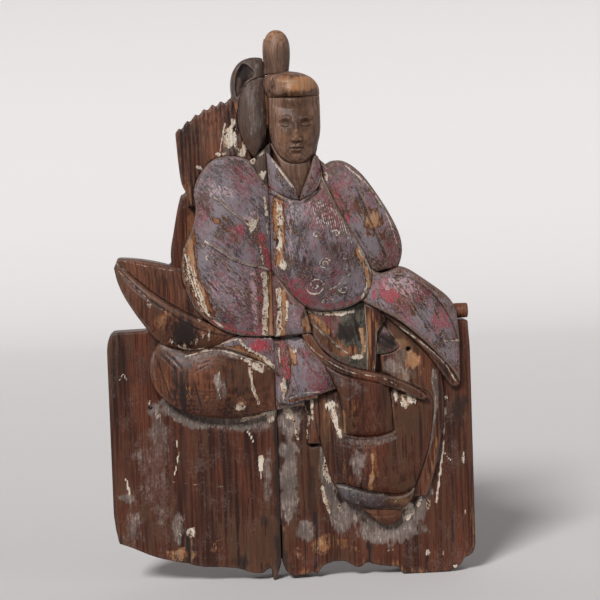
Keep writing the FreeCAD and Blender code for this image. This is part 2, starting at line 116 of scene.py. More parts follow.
class CarvingColours(bpy.types.PropertyGroup):
    """The woods and paints of the panel."""
    heart_dark: colour("Heartwood, dark", "Late wood of the boards", (0.020, 0.006, 0.0035))
    heart_light: colour("Heartwood, light", "Early wood of the boards", (0.125, 0.036, 0.017))
    carved_dark: colour("Carved wood, dark", "Late wood of the brown blocks", (0.026, 0.008, 0.005))
    carved_light: colour("Carved wood, light", "Early wood of the brown blocks", (0.175, 0.060, 0.028))
    grey_dark: colour("Weathered wood, dark", "Late wood of the grey blocks", (0.045, 0.026, 0.022))
    grey_light: colour("Weathered wood, light", "Early wood of the grey blocks", (0.130, 0.088, 0.070))
    worn_wood: colour("Worn wood", "Wood where the surface is worn fresh", (0.32, 0.135, 0.052))
    gesso: colour("Gesso", "The white ground under the paint", (0.58, 0.50, 0.41))
    purple: colour("Purple paint", "Paint of the robe", (0.027, 0.017, 0.024))
    purple_grey: colour("Grey-purple paint", "The robe's paint where it is rubbed", (0.178, 0.146, 0.160))
    crimson: colour("Crimson paint", "Red paint of cuffs and linings", (0.40, 0.038, 0.055))
    rose: colour("Scuffed paint", "Paint rubbed thin to pink", (0.40, 0.27, 0.285))
    black: colour("Black paint", "Paint of the sash", (0.022, 0.022, 0.018))
    black_green: colour("Green-black paint", "The sash's paint where it is rubbed", (0.075, 0.072, 0.052))
    ochre: colour("Ochre", "Yellowed wood and old varnish", (0.36, 0.21, 0.12))
    # This dark colour also paints shade into hollows, creases and under higher blocks.
    grime_and_shade: colour("Grime", "Dirt in the hollows", (0.016, 0.010, 0.009))
    ash: colour("Ash grey", "Grey-brown of scraped old wood", (0.098, 0.077, 0.068))
    # Dust is also the painted highlight laid on ridges.
    dust: colour("Dust", "Grey dust on the old wood", (0.25, 0.190, 0.162))
    skin_dark: colour("Head, dark", "Late wood of the head and cap", (0.070, 0.036, 0.026))
    skin_light: colour("Head, light", "Early wood of the head and cap", (0.40, 0.225, 0.145))
    bamboo: colour("Bamboo", "Pegs and dowels", (0.42, 0.29, 0.14))
    iron: colour("Iron", "Staples at the back", (0.045, 0.038, 0.034))
    rust: colour("Rust", "Rust on the staples", (0.13, 0.045, 0.02))
    room: colour("Room", "The pale wall colour all round", (0.66, 0.64, 0.64))
    floor: colour("Floor", "The pale floor", (0.62, 0.60, 0.595))


# ---- shader sums --------------------------------------------------------------------

class Value:
    """An output of a node, so that masks and heights are written as sums."""

    def __init__(self, finish, socket):
        self.finish, self.socket = finish, socket

    def sum(self, operation, first, second):
        return self.finish.add("Math", {"operation": operation}, {0: first, 1: second})

    def __add__(self, other):
        return self.sum("ADD", self, other)

    __radd__ = __add__

    def __sub__(self, other):
        return self.sum("SUBTRACT", self, other)

    def __rsub__(self, other):
        return self.sum("SUBTRACT", other, self)

    def __mul__(self, other):
        return self.sum("MULTIPLY", self, other)

    __rmul__ = __mul__


class Finish:
    """The node tree of one finish."""

    def __init__(self, name):
        self.material = bpy.data.materials.new(name)
        self.material.use_nodes = True
        self.tree = self.material.node_tree
        self.tree.nodes.clear()
        self.place = self.add("TexCoord", {}, {}, "Object")

    def add(self, kind, settings, sockets, output=0):
        """A node of that kind, with its settings set first, then its sockets' values or links."""
        node = self.tree.nodes.new("ShaderNode" + kind)
        for key, value in settings.items():
            setattr(node, key, value)
        for key, value in sockets.items():
            if isinstance(value, Value):
                self.tree.links.new(value.socket, node.inputs[key])
            elif hasattr(value, "__len__") and len(node.inputs[key].default_value) == len(value) + 1:
                node.inputs[key].default_value = (*value, 1.0)
            else:
                node.inputs[key].default_value = value
        return None if output is None else Value(self, node.outputs[output])

    def noise(self, stretch, detail=3.0, roughness=0.55, shift=0.0, output="Fac", slant=0.0):
        """Noise with that many waves per metre across, deep and along, leaning by slant degrees."""
        lean = self.place
        if slant:
            lean = self.add("Mapping", {"vector_type": "TEXTURE"},
                            {"Vector": self.place, "Rotation": (0, math.radians(slant), 0)})
        spot = self.add("Mapping", {}, {"Vector": lean, "Scale": stretch,
                                        "Location": (shift, shift * 0.7, shift * 1.3)})
        return self.add("TexNoise", {"noise_dimensions": "3D"},
                        {"Vector": spot, "Scale": 1.0, "Detail": detail, "Roughness": roughness}, output)

    def soft(self, value, low, high):
        """0 below low, 1 above high, and smooth between."""
        return self.add("MapRange", {"interpolation_type": "SMOOTHSTEP"},
                        {"Value": value, "From Min": low, "From Max": high})

    def mix(self, share, first, second):
        """Two colours mixed."""
        return self.add("Mix", {"data_type": "RGBA"}, {0: share, 6: first, 7: second}, 2)

    def coat(self, name):
        """A coat that was laid on the piece."""
        return self.add("Attribute", {"attribute_name": name}, {}, "Fac")

    def shade(self, tone, rough, height, depth, **constants):
        """Ends the tree: a shader with that colour, roughness and relief."""
        relief = self.add("Bump", {}, {"Height": height, "Distance": depth, "Strength": 1.0})
        sockets = {"Base Color": tone, "Roughness": rough, "Normal": relief}
        sockets.update({key.replace("_", " "): value for key, value in constants.items()})
        surface = self.add("BsdfPrincipled", {}, sockets)
        self.add("OutputMaterial", {}, {"Surface": surface}, None)
        return self.material


def timber(name, dark, light, paints=None, cover=0.0, dusty=0.2, gloss=0.40, fresh=0.7, slant=0.0,
           rubbed=0.15, stripes=0.5):
    """Old carved timber: rings and grain, then gesso, paint, wear, dust and grime, with painted shade in the
    hollows and a painted highlight on the ridges.
    """
    sizes, tones = bpy.context.scene.carving_sizes, bpy.context.scene.carving_colours
    f = Finish(name)
    # growth rings stand round a pith behind the boards, so carved swells show contour lines
    wander = f.noise((14, 14, 3.0), 2.0, 0.5, 3.1, "Color")
    push = f.add("VectorMath", {"operation": "MULTIPLY_ADD"},
                 {0: wander, 1: (0.016, 0.016, 0.0), 2: (0.067, -0.13, 0.0)})
    spot = f.add("VectorMath", {"operation": "ADD"}, {0: f.place, 1: push})
    rings = f.add("TexWave", {"wave_type": "RINGS", "rings_direction": "Z", "wave_profile": "SIN"},
                  {"Vector": spot, "Scale": 0.314 / sizes.ring_gap, "Distortion": 0.9,
                   "Detail": 2.0, "Detail Scale": 0.25, "Detail Roughness": 0.6})
    streaks = f.noise((330, 330, 9), 4.0, 0.62, 1.7)
    pores = f.noise((1400, 1400, 55), 2.0, 0.5, 5.3)
    band = f.noise((45, 45, 5), 2.0, 0.5, 7.7)
    blot = f.noise((48, 48, 36), 4.0, 0.62, 11.0)
    speck = f.noise((520, 520, 420), 3.0, 0.65, 13.0)
    rub = f.noise((150, 150, 80), 4.0, 0.68, 17.0)
    stain = f.noise((22, 22, 10), 4.0, 0.65, 19.0)
    stroke = f.noise((620, 620, 50), 4.0, 0.66, 23.0, "Fac", slant)
    bare, gesso, crimson = f.coat("bare"), f.coat("gesso"), f.coat("crimson")
    pale, line, grime, ochre = f.coat("pale"), f.coat("line"), f.coat("grime"), f.coat("ochre")
    # hollow is painted shade in hollows and under higher blocks; ridge is edge wear with a painted
    # highlight.
    hollow, ridge = f.coat("hollow"), f.coat("ridge")
    torn = (speck - 0.5) * 1.1 + (rub - 0.5) * 1.1 + (stroke - 0.5) * 1.0

    grain = rings * 0.10 + streaks * 0.8 + band * 0.7 - 0.30
    tone = f.mix(f.soft(grain, 0.5 - stripes, 0.5 + stripes), dark, light)
    tone = f.mix(f.soft(pores, 0.54, 0.68) * 0.7, tone, dark)
    tone = f.mix(f.soft(rings, 0.72, 1.0) * f.soft(band, 0.35, 0.6) * 0.6, tone, dark)
    tone = f.mix(f.soft(streaks + (stain - 0.5) * 1.3, 0.53, 0.68) * 0.5, tone, tones.worn_wood)
    tone = f.mix(f.soft(bare + torn * 0.5, 0.35, 0.85) * fresh, tone,
                 f.mix(f.soft(streaks, 0.42, 0.58), dark, tones.worn_wood))
    tone = f.mix(f.soft(ochre + torn * 0.9, 0.3, 0.9), tone,
                 f.mix(f.soft(streaks, 0.40, 0.60), tones.worn_wood, tones.ochre))
    tone = f.mix(f.soft(blot + (speck - 0.5) * 0.8 + hollow * 0.2, 0.50, 0.80) * dusty, tone, tones.dust)
    tone = f.mix(f.soft(stain + (streaks - 0.5) * 0.9, 0.48, 0.66) * 0.75 * (1 - ochre * 0.8),
                 tone, tones.grime_and_shade)
    height = grain * 0.3 + pores * 0.2
    rough = gloss + (streaks - 0.5) * 0.3 + (blot - 0.5) * 0.3
    if paints:
        left = (cover + (blot - 0.5) * 0.7 + (stroke - 0.5) * 1.2 + (speck - 0.5) * 0.5 + (rub - 0.5) * 0.5
                - bare * 1.1 - ochre * 0.9 - ridge * 0.25)
        ground, film = f.soft(left, 0.27, 0.31), f.soft(left, 0.28, 0.36)
        deep = f.mix(0.62, tones.crimson, tones.grime_and_shade)
        # Ridges lean to the lighter paint: edge wear and a painted highlight.
        pigment = f.mix(f.soft(stroke * 0.6 + blot * 0.8 + (speck - 0.5) * 0.25 + ridge * 0.15, 0.62, 0.79),
                        paints[0], paints[1])
        pigment = f.mix(f.soft(stain + (stroke - 0.5) * 0.9, 0.47, 0.64) * 0.75, pigment, deep)
        pigment = f.mix(f.soft(crimson + torn * 1.2, 0.28, 1.0) * 0.9, pigment,
                        f.mix(f.soft(speck + stroke * 0.6, 0.68, 0.96), tones.crimson, deep))
        pigment = f.mix(f.soft(stroke + (speck - 0.5) * 0.8 + pale * 0.28, 0.61, 0.80) * 0.68,
                        pigment, tones.rose)
        tone = f.mix(ground, tone, tones.gesso)
        tone = f.mix(film, tone, pigment)
        height = height + ground * 0.6 + film * 0.4 + stroke * 0.5
        rough = rough + film * 0.08
    else:
        tone = f.mix(f.soft(crimson + torn * 0.8, 0.35, 0.75), tone, tones.crimson)
        scraped = f.soft(pale + torn * 0.62, 0.18, 0.86)
        ashen = f.mix(f.soft(stroke * 0.7 + (blot - 0.5) * 0.9 + (rub - 0.5) * 0.5 + 0.15, 0.36, 0.76),
                      tones.ash, tones.dust)
        ashen = f.mix(f.soft(stroke * 0.7 + rub * 0.5 + (speck - 0.5) * 0.4 + pale * 0.1, 0.74, 0.92) * 0.55,
                      ashen, tones.gesso)
        tone = f.mix(scraped * 0.88, tone, ashen)
        rough = rough + scraped * 0.2
        height = height + stroke * scraped * 0.5
    chalk = f.soft(gesso + torn * 1.1, 0.45, 0.60)
    pits = f.soft(speck * 0.7 + rub * 0.5, 0.64, 0.72)
    white = f.mix(pits, f.mix(f.soft(rub, 0.42, 0.66), tones.gesso, tones.ochre), tones.grime_and_shade)
    tone = f.mix(chalk, tone, white)
    tone = f.mix(f.soft(line + torn * 0.45, 0.30, 0.64) * 0.88, tone, tones.gesso)
    # Ridges go towards dust by the rubbed share: edge wear and a painted highlight.
    tone = f.mix(f.soft(ridge + (speck - 0.5) * 0.8, 0.40, 1.0) * rubbed, tone, tones.dust)
    # Grime darkens the colour, and so does the painted shade of the hollow coat.
    tone = f.mix(f.soft(grime + hollow * 0.85 - pale * 0.7 + (rub - 0.5) * 0.4, 0.25, 1.05) * 0.94,
                 tone, tones.grime_and_shade)
    rough = rough + chalk * 0.3
    height = height + chalk * 0.7 - pits * chalk * 0.8 + speck * 0.15
    return f.shade(tone, rough, height, GRAIN_DEPTH, Specular_IOR_Level=0.25)


def bamboo():
    """Split bamboo: straight fibres in a pale straw colour."""
    tones = bpy.context.scene.carving_colours
    f = Finish("bamboo")
    fibre = f.noise((1800, 1800, 1800), 2.0, 0.6, 2.0)
    tone = f.mix(f.soft(fibre, 0.35, 0.7), tones.bamboo, tones.worn_wood)
    return f.shade(tone, 0.5 + fibre * 0.2, fibre, 0.0001)


def iron():
    """Hand-forged iron, blackened, with rust."""
    tones = bpy.context.scene.carving_colours
    f = Finish("forged_iron")
    scale, rust = f.noise((380, 380, 380), 4.0, 0.6, 2.0), f.noise((90, 90, 90), 4.0, 0.65, 4.0)
    eaten = f.soft(rust, 0.45, 0.65)
    tone = f.mix(eaten, tones.iron, tones.rust)
    return f.shade(tone, 0.45 + eaten * 0.35, scale + rust, 0.0004, Metallic=0.35)


FINISHES = {}


def finish_for(slot):
    """The finish for a material slot, or one of the robe's own for a sleeve, made once."""
    if slot not in FINISHES:
        c = bpy.context.scene.carving_colours
        carved, robe = (c.carved_dark, c.carved_light), (c.purple, c.purple_grey)
        FINISHES[slot] = {
            "bare_wood": lambda: timber("carved_brown_wood", *carved, dusty=0.12, stripes=0.17),
            "boards": lambda: timber("board_heartwood", c.heart_dark, c.heart_light,
                                     stripes=0.22, rubbed=0.05),
            "weathered_wood": lambda: timber("weathered_wood", c.grey_dark, c.grey_light,
                                             gloss=0.5, stripes=0.26),
            "purple_paint": lambda: timber("purple_paint", *carved, robe, 0.46,
                                           gloss=0.42, slant=-14, rubbed=0.45),
            "purple_left": lambda: timber("purple_left", *carved, robe, 0.46,
                                          gloss=0.42, slant=-42, rubbed=0.45),
            "purple_right": lambda: timber("purple_right", *carved, robe, 0.43,
                                           gloss=0.42, slant=-30, rubbed=0.45),
            "black_paint": lambda: timber("black_paint", *carved, (c.black, c.black_green), 0.60,
                                          rubbed=0.3),
            "face_wood": lambda: timber("head_wood", c.skin_dark, c.skin_light,
                                        gloss=0.42, stripes=0.32),
            "bamboo": bamboo,
            "iron": iron,
        }[slot]()
    return FINISHES[slot]


# ---- carving ------------------------------------------------------------------------

def ease(share):
    share = np.clip(share, 0.0, 1.0)
    return share * share * (3 - 2 * share)


def grain_noise(x, y, size, seed, layers=1):
    """Smooth noise from -1 to 1, with swells of that size in millimetres."""
    total, weight = 0.0, 0.0
    for layer in range(layers):
        table = np.random.RandomState(seed + layer).uniform(-1, 1, (61, 61))
        a, b = x * 2 ** layer / size, y * 2 ** layer / size
        i, j = np.floor(a).astype(int), np.floor(b).astype(int)
        s, t = ease(a - i), ease(b - j)
        near = table[i % 61, j % 61] * (1 - s) + table[(i + 1) % 61, j % 61] * s
        far = table[i % 61, (j + 1) % 61] * (1 - s) + table[(i + 1) % 61, (j + 1) % 61] * s
        total, weight = total + (near * (1 - t) + far * t) * 0.55 ** layer, weight + 0.55 ** layer
    return total / weight


def smooth_path(points, spacing=0.8):
    """Points spaced along a smooth curve through the given points, in millimetres."""
    points = [np.array(p, float) for p in points]
    if len(points) == 1:
        return np.array(points)
    ends = [2 * points[0] - points[1], *points, 2 * points[-1] - points[-2]]
    found = []
    for a, b, c, d in zip(ends, ends[1:], ends[2:], ends[3:]):
        steps = max(2, int(np.hypot(*(c - b)) / spacing))
        for t in np.arange(steps)[:, None] / steps:
            found.append(0.5 * (2 * b + (c - a) * t + (2 * a - 5 * b + 4 * c - d) * t ** 2
                                + (3 * b - a - 3 * c + d) * t ** 3))
    return np.array([*found, points[-1]])


def hundredths(flat):
    """Places, as shares of a block's box, from a flat row of hundredths."""
    return [(u / 100, v / 100) for u, v in zip(flat[::2], flat[1::2])]


class Carving:
    """A carved copy of one CAD block, worked as heights above the back, in millimetres.

    Places on it are shares of the block's own box: (0, 0) lower left, (1, 1) upper right.
    """

    def __init__(self, node, cell, ground=BOARD):
        self.node, self.ground, self.is_board = node, ground, ground == 0
        solid = bmesh.new()
        solid.from_mesh(frame["nodes"][node].data)
        bmesh.ops.remove_doubles(solid, verts=solid.verts, dist=1e-5)
        solid.normal_update()
        self.front = BVHTree.FromBMesh(solid)
        outline = self.outline_of(solid)
        mesh = bpy.data.meshes.new(node + "_blank")
        solid.to_mesh(mesh)
        solid.free()
        blank = bpy.data.objects.new(node + "_blank", mesh)
        bpy.context.scene.collection.objects.link(blank)
        cells = blank.modifiers.new("Cells", "REMESH")
        cells.mode, cells.voxel_size, cells.adaptivity = "VOXEL", cell, 0.0
        relax = blank.modifiers.new("Relax", "SMOOTH")
        relax.factor, relax.iterations = 0.4, 2
        bpy.context.view_layer.update()
        ready = blank.evaluated_get(bpy.context.evaluated_depsgraph_get())
        self.mesh = bpy.data.meshes.new_from_object(ready)
        self.mesh.name = node + "_carved"
        bpy.data.objects.remove(blank)
        bpy.data.meshes.remove(mesh)
        count = len(self.mesh.vertices)
        points = np.empty(count * 3)
        self.mesh.vertices.foreach_get("co", points)
        self.x, y, self.z = points.reshape(-1, 3).T * MM
        self.h = BACK - y
        low, high = (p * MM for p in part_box(node))
        self.low, self.wide, self.tall = low, high.x - low.x, high.z - low.z
        self.u, self.v = (self.x - low.x) / self.wide, (self.z - low.z) / self.tall
        self.measure(outline)
        self.cut = np.zeros(count)
        self.coats = {name: np.zeros(count) for name in COATS}

    def outline_of(self, solid):
        """Points along the block's outline: place, own height there and the step down outside."""
        found = []
        for face in solid.faces:
            if abs(face.normal.y) > 0.3:
                continue
            heights = [BACK - v.co.y * MM for v in face.verts]
            if self.is_board and (min(heights) > 5 or max(heights) < BOARD - 5):
                continue
            if not self.is_board and max(heights) < self.ground + 4.8:
                continue
            spots = sorted(((v.co.x * MM, v.co.z * MM) for v in face.verts))
            a, b = np.array(spots[0]), np.array(spots[-1])
            if np.hypot(*(b - a)) < 1e-6:
                spots.sort(key=lambda s: s[1])
                a, b = np.array(spots[0]), np.array(spots[-1])
            out = np.array((face.normal.x, face.normal.z))
            out /= max(np.hypot(*out), 1e-9)
            for t in np.linspace(0, 1, max(2, int(np.hypot(*(b - a)) / 0.7) + 1)):
                found.append((a + (b - a) * t, out))
        return found

    def height_at(self, tree, x, z):
        hit = tree.ray_cast(Vector((x / MM, -1.0, z / MM)), Vector((0, 1, 0)))
        return None if hit[0] is None else BACK - hit[0].y * MM

    def measure(self, outline):
        """For each vertex: the front's height, the way to the outline and the step down beyond it."""
        kd, own, step = KDTree(len(outline)), [], []
        for i, (spot, out) in enumerate(outline):
            kd.insert((spot[0], spot[1], 0), i)
            inside, outside = spot - out * 0.6, spot + out * 1.6
            here = self.height_at(self.front, *inside)
            here = self.ground if here is None else here
            there = self.height_at(EVERYTHING, *outside)
            own.append(here)
            step.append(here - (0.0 if there is None else there))
        kd.balance()
        self.top, self.rim, self.step = (np.empty(len(self.x)) for _ in range(3))
        for i, (x, z) in enumerate(zip(self.x, self.z)):
            _, nearest, far = kd.find((x, z, 0))
            top = self.height_at(self.front, x, z)
            self.top[i] = own[nearest] if top is None or top < self.ground + 1 else top
            self.rim[i], self.step[i] = far, step[nearest]
        if self.is_board:
            self.top[:] = BOARD

    # forms

    def spot(self, place):
        return self.low.x + place[0] * self.wide, self.low.z + place[1] * self.tall

    def near(self, places):
        """Distance to a smooth line through those places, the share along it, and the side of it."""
        path = smooth_path([self.spot(p) for p in places])
        flow = np.gradient(path, axis=0) if len(path) > 1 else np.ones_like(path)
        away, along, side = np.full(len(self.x), 1e9), np.zeros(len(self.x)), np.zeros(len(self.x))
        for i, ((px, pz), (fx, fz)) in enumerate(zip(path, flow)):
            dx, dz = self.x - px, self.z - pz
            far = dx * dx + dz * dz
            closer = far < away
            away[closer], along[closer] = far[closer], i / max(len(path) - 1, 1)
            side[closer] = (fx * dz - fz * dx)[closer]
        return np.sqrt(away), along, np.sign(side)

    def groove(self, places, width, depth, tail=0.15):
        """A rounded groove along a line. A negative depth raises a ridge."""
        away, along, _ = self.near(places)
        fade = ease(np.minimum(along, 1 - along) / tail) if tail else 1.0
        self.cut += depth * np.exp(-(away / width) ** 2 * 1.6) * fade

    def fold(self, places, drop, run, tail=0.15):
        """One layer over another: just right of the line the wood falls by drop.

        It climbs back over run, in millimetres.
        """
        away, along, side = self.near(places)
        fade = ease(np.minimum(along, 1 - along) / tail) if tail else 1.0
        self.cut += np.where(side < 0, drop * (1 - ease(away / run)), 0.0) * fade
        self.cut -= np.where(side >= 0, drop * 0.35 * (1 - ease(away / run)), 0.0) * fade

    def oval(self, place, wide, tall, turn=0.0):
        """1 at the middle of an oval of those half sizes, 0 at its edge."""
        x, z = self.spot(place)
        c, s = math.cos(math.radians(turn)), math.sin(math.radians(turn))
        dx, dz = self.x - x, self.z - z
        return 1 - np.sqrt(((dx * c + dz * s) / wide) ** 2 + ((dz * c - dx * s) / tall) ** 2)

    def dish(self, place, wide, tall, depth, turn=0.0):
        """A soft hollow. A negative depth raises a swell."""
        self.cut += depth * ease(self.oval(place, wide, tall, turn) * 1.2)

    def edges(self, radius=None, drop=1.0):
        """Rounds the outline where it stands proud, and sinks it a little where a higher block overlaps."""
        sizes = bpy.context.scene.carving_sizes
        radius = sizes.edge_round * MM if radius is None else radius
        wobble = 1 + 0.25 * grain_noise(self.x, self.z, 9, 5, 2)
        r = np.clip(0.3 * np.maximum(self.step, 0) + 0.4, 0.4, radius) * wobble
        r = np.where(np.abs(self.x - SEAM) < 2.5, np.minimum(r, 1.3), r)
        t = np.clip(1 - self.rim / r, 0, 1)
        proud = r * 0.9 * drop * (1 - np.sqrt(np.maximum(1 - t * t, 0)))
        under = 0.5 * np.exp(-(self.rim / 1.2) ** 2)
        self.cut += np.where(self.step > -1.5, proud, under)

    def gouge(self, angle, long, wide, depth=None, seed=1):
        """Shallow scoops of a gouge, laid side by side at that angle from level."""
        sizes = bpy.context.scene.carving_sizes
        depth = sizes.gouge_depth * MM if depth is None else depth
        c, s = math.cos(math.radians(angle)), math.sin(math.radians(angle))
        a, b = (self.x * c + self.z * s) / long, (self.z * c - self.x * s) / wide
        i, j = np.floor(a).astype(int), np.floor(b).astype(int)
        jitter = np.random.RandomState(seed).uniform(-0.4, 0.4, (53, 53, 2))
        best = np.full(len(a), 9.0)
        for di in (-1, 0, 1):
            for dj in (-1, 0, 1):
                off = jitter[(i + di) % 53, (j + dj) % 53]
                best = np.minimum(best, (a - i - di - 0.5 - off[:, 0]) ** 2
                                  + (b - j - dj - 0.5 - off[:, 1]) ** 2)
        self.cut += depth * (1 - np.minimum(best * 2.2, 1.0))

    def weather(self, depth=0.35, along=60, across=7, seed=3):
        """Old wood worn hollow between its harder grain lines."""
        self.cut += depth * (grain_noise(self.x * along / across, self.z, along, seed, 3) * 0.6
                             + grain_noise(self.x, self.z, 22, seed + 9, 2) * 0.6)

    # coats

    def lay(self, coat, share):
        self.coats[coat] = np.maximum(self.coats[coat], np.clip(share, 0, 1))

    def ragged(self, size, seed):
        """A wandering from -1 to 1 that tears the edges of patches of that size."""
        return (grain_noise(self.x, self.z, size * 0.9 + 2.0, seed, 2) * 0.9
                + grain_noise(self.x * 1.7, self.z * 0.6, 3.5, seed + 5, 2) * 0.6)

    def daub(self, coat, place, wide, tall, amount=1.0, turn=0.0):
        """A torn patch of a coat: half sizes in millimetres, full in the middle."""
        seed = int(place[0] * 90 + place[1] * 900) % 997 + 1
        torn = self.oval(place, wide * 1.15, tall * 1.15, turn) + self.ragged(min(wide, tall), seed) * 0.55
        self.lay(coat, amount * ease(torn * 1.5) * ease(self.oval(place, wide * 1.9, tall * 1.9, turn) * 3))

    def streak(self, coat, places, width, amount=1.0):
        """A stroke of a coat along a line."""
        away, along, _ = self.near(places)
        broken = self.ragged(width * 3, int(places[0][0] * 90 + places[-1][1] * 900) % 997 + 1) * 0.5
        self.lay(coat, amount * ease((1 - away / width + broken) * 1.6) * (away < width * 2))

    def scroll(self, place, size, turns, start, width=0.8, amount=0.9):
        """A painted scroll: a line that winds in to its middle."""
        whole = np.linspace(0, 1, 6 + int(abs(turns) * 7))
        angles, reach = start + whole * turns * 2 * math.pi, size * (1 - 0.85 * whole)
        self.streak("line", [(place[0] + r * math.cos(a) / self.wide, place[1] + r * math.sin(a) / self.tall)
                             for a, r in zip(angles, reach)], width, amount)

    def work(self, dishes=(), grooves=(), checks=(), folds=(), **coats):
        """All the plain marks of a block in rows, with places in hundredths of the block's box.

        dishes: place, half sizes, depth and turn. grooves: width, depth, then the places.
        checks: grooves that keep their depth to the ends. folds: drop, run, then the places.
        A coat by its name: daubs, as place, half sizes, amount and turn.
        A coat with _lines: streaks, as width, amount, then the places.
        """
        for u, v, *rest in dishes:
            self.dish((u / 100, v / 100), *rest)
        for width, depth, *places in grooves:
            self.groove(hundredths(places), width, depth)
        for width, depth, *places in checks:
            self.groove(hundredths(places), width, depth, 0)
        for drop, run, *places in folds:
            self.fold(hundredths(places), drop, run)
        for name, rows in coats.items():
            coat, _, lines = name.partition("_")
            for row in rows:
                if lines:
                    self.streak(coat, hundredths(row[2:]), *row[:2])
                else:
                    self.daub(coat, (row[0] / 100, row[1] / 100), *row[2:])

    def border(self, coat, width, amount=1.0):
        """A coat along the whole outline."""
        self.lay(coat, amount * ease(1 - self.rim / width))

    def done(self, finish=None, slot=None):
        """Sets the heights, reads painted shade in the hollows and edge wear with a painted highlight on the
        ridges off the shape, and hangs the piece on the body.
        """
        count = len(self.x)
        least = THIN_BOARD if self.is_board else self.ground + THIN_BLOCK
        top = np.maximum(self.top - self.cut, least)
        if self.is_board:
            share = ease((self.h - BOARD * 0.35) / (BOARD * 0.6))
            h = self.h - (self.top - top) * share
        else:
            full = np.maximum(self.top - self.ground, 0.01)
            h = self.ground + (self.h - self.ground) * (top - self.ground) / full
            h = np.where(h < least, h - SUNK_INTO_BOARD, h)
        gap = bpy.context.scene.carving_sizes.seam_gap * MM
        from_seam = self.x - SEAM
        x = self.x + gap * np.sign(from_seam) * np.exp(-np.abs(from_seam) / 1.5) * (np.abs(self.rim) < 3)
        h = np.minimum(h, BACK - CAD_LOW.y * MM - 0.1)
        points = np.stack((x, BACK - h, self.z), 1) / MM
        self.mesh.vertices.foreach_set("co", points.astype(np.float32).ravel())
        edges = np.empty(len(self.mesh.edges) * 2, int)
        self.mesh.edges.foreach_get("vertices", edges)
        a, b = edges.reshape(-1, 2).T
        links = np.bincount(a, minlength=count) + np.bincount(b, minlength=count)
        blurred, depths = h.copy(), []
        for turn in range(BROAD_BLUR + 1):
            total = np.bincount(a, blurred[b], count) + np.bincount(b, blurred[a], count)
            blurred = total / np.maximum(links, 1)
            if turn in (FINE_BLUR, BROAD_BLUR):
                depths.append(blurred - h)
        facing = self.h > self.ground + 1 if not self.is_board else self.h > BOARD - 3
        # Painted shade: how far a vertex sits below its blurred neighbours.
        sunk = depths[0] * 2.2 + depths[1] * 0.8
        # Painted shade on the wood just under a higher block that overlaps this one.
        contact_shade = np.where(self.step < -2.5, ease(1 - self.rim / 2.6), 0)
        if self.is_board:
            for share in self.coats.values():
                share *= ease(self.h / BOARD * 4 - 1.4)
        self.coats["hollow"] = np.clip(sunk, 0, 1) * facing * 0.9 + contact_shade * 0.45
        self.coats["hollow"] *= 1 - 0.75 * np.clip(self.coats["pale"] * 1.3, 0, 1)
        # Ridges: edge wear and a painted highlight.
        self.coats["ridge"] = np.clip(-sunk * 1.1, 0, 1) * facing
        for name, share in self.coats.items():
            store = self.mesh.attributes.new(name, "FLOAT", "POINT")
            store.data.foreach_set("value", share.astype(np.float32))
        self.mesh.polygons.foreach_set("use_smooth", np.ones(len(self.mesh.polygons), bool))
        self.mesh.update()
        slot = slot or SLOT_OF[self.node]
        self.mesh.materials.clear()
        self.mesh.materials.append(finish_for(finish or slot))
        piece = bpy.data.objects.new(self.node + "_carved", self.mesh)
        bpy.context.scene.collection.objects.link(piece)
        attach(piece, "root")
        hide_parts(self.node)
        return piece


def all_fronts():
    """One search tree over every CAD node, for the height of a neighbour."""
    joined = bmesh.new()
    for node in frame["nodes"].values():
        joined.from_mesh(node.data)
    tree = BVHTree.FromBMesh(joined)
    joined.free()
    return tree


EVERYTHING = all_fronts()
SLOT_OF = {part["node"]: part["material_slot"] for part in frame["record"]["subparts"]}
SEAM_SHARE = {"left_board": 1.0, "right_board": 0.0}    # where the seam is on each board


def corners(geometry):
    """The vertices among the results of a bmesh operator."""
    return [v for v in geometry if isinstance(v, bmesh.types.BMVert)]


def carve(node, cell=None, ground=BOARD):
    return Carving(node, cell or bpy.context.scene.carving_sizes.block_cell, ground)


# ---- the pieces ---------------------------------------------------------------------

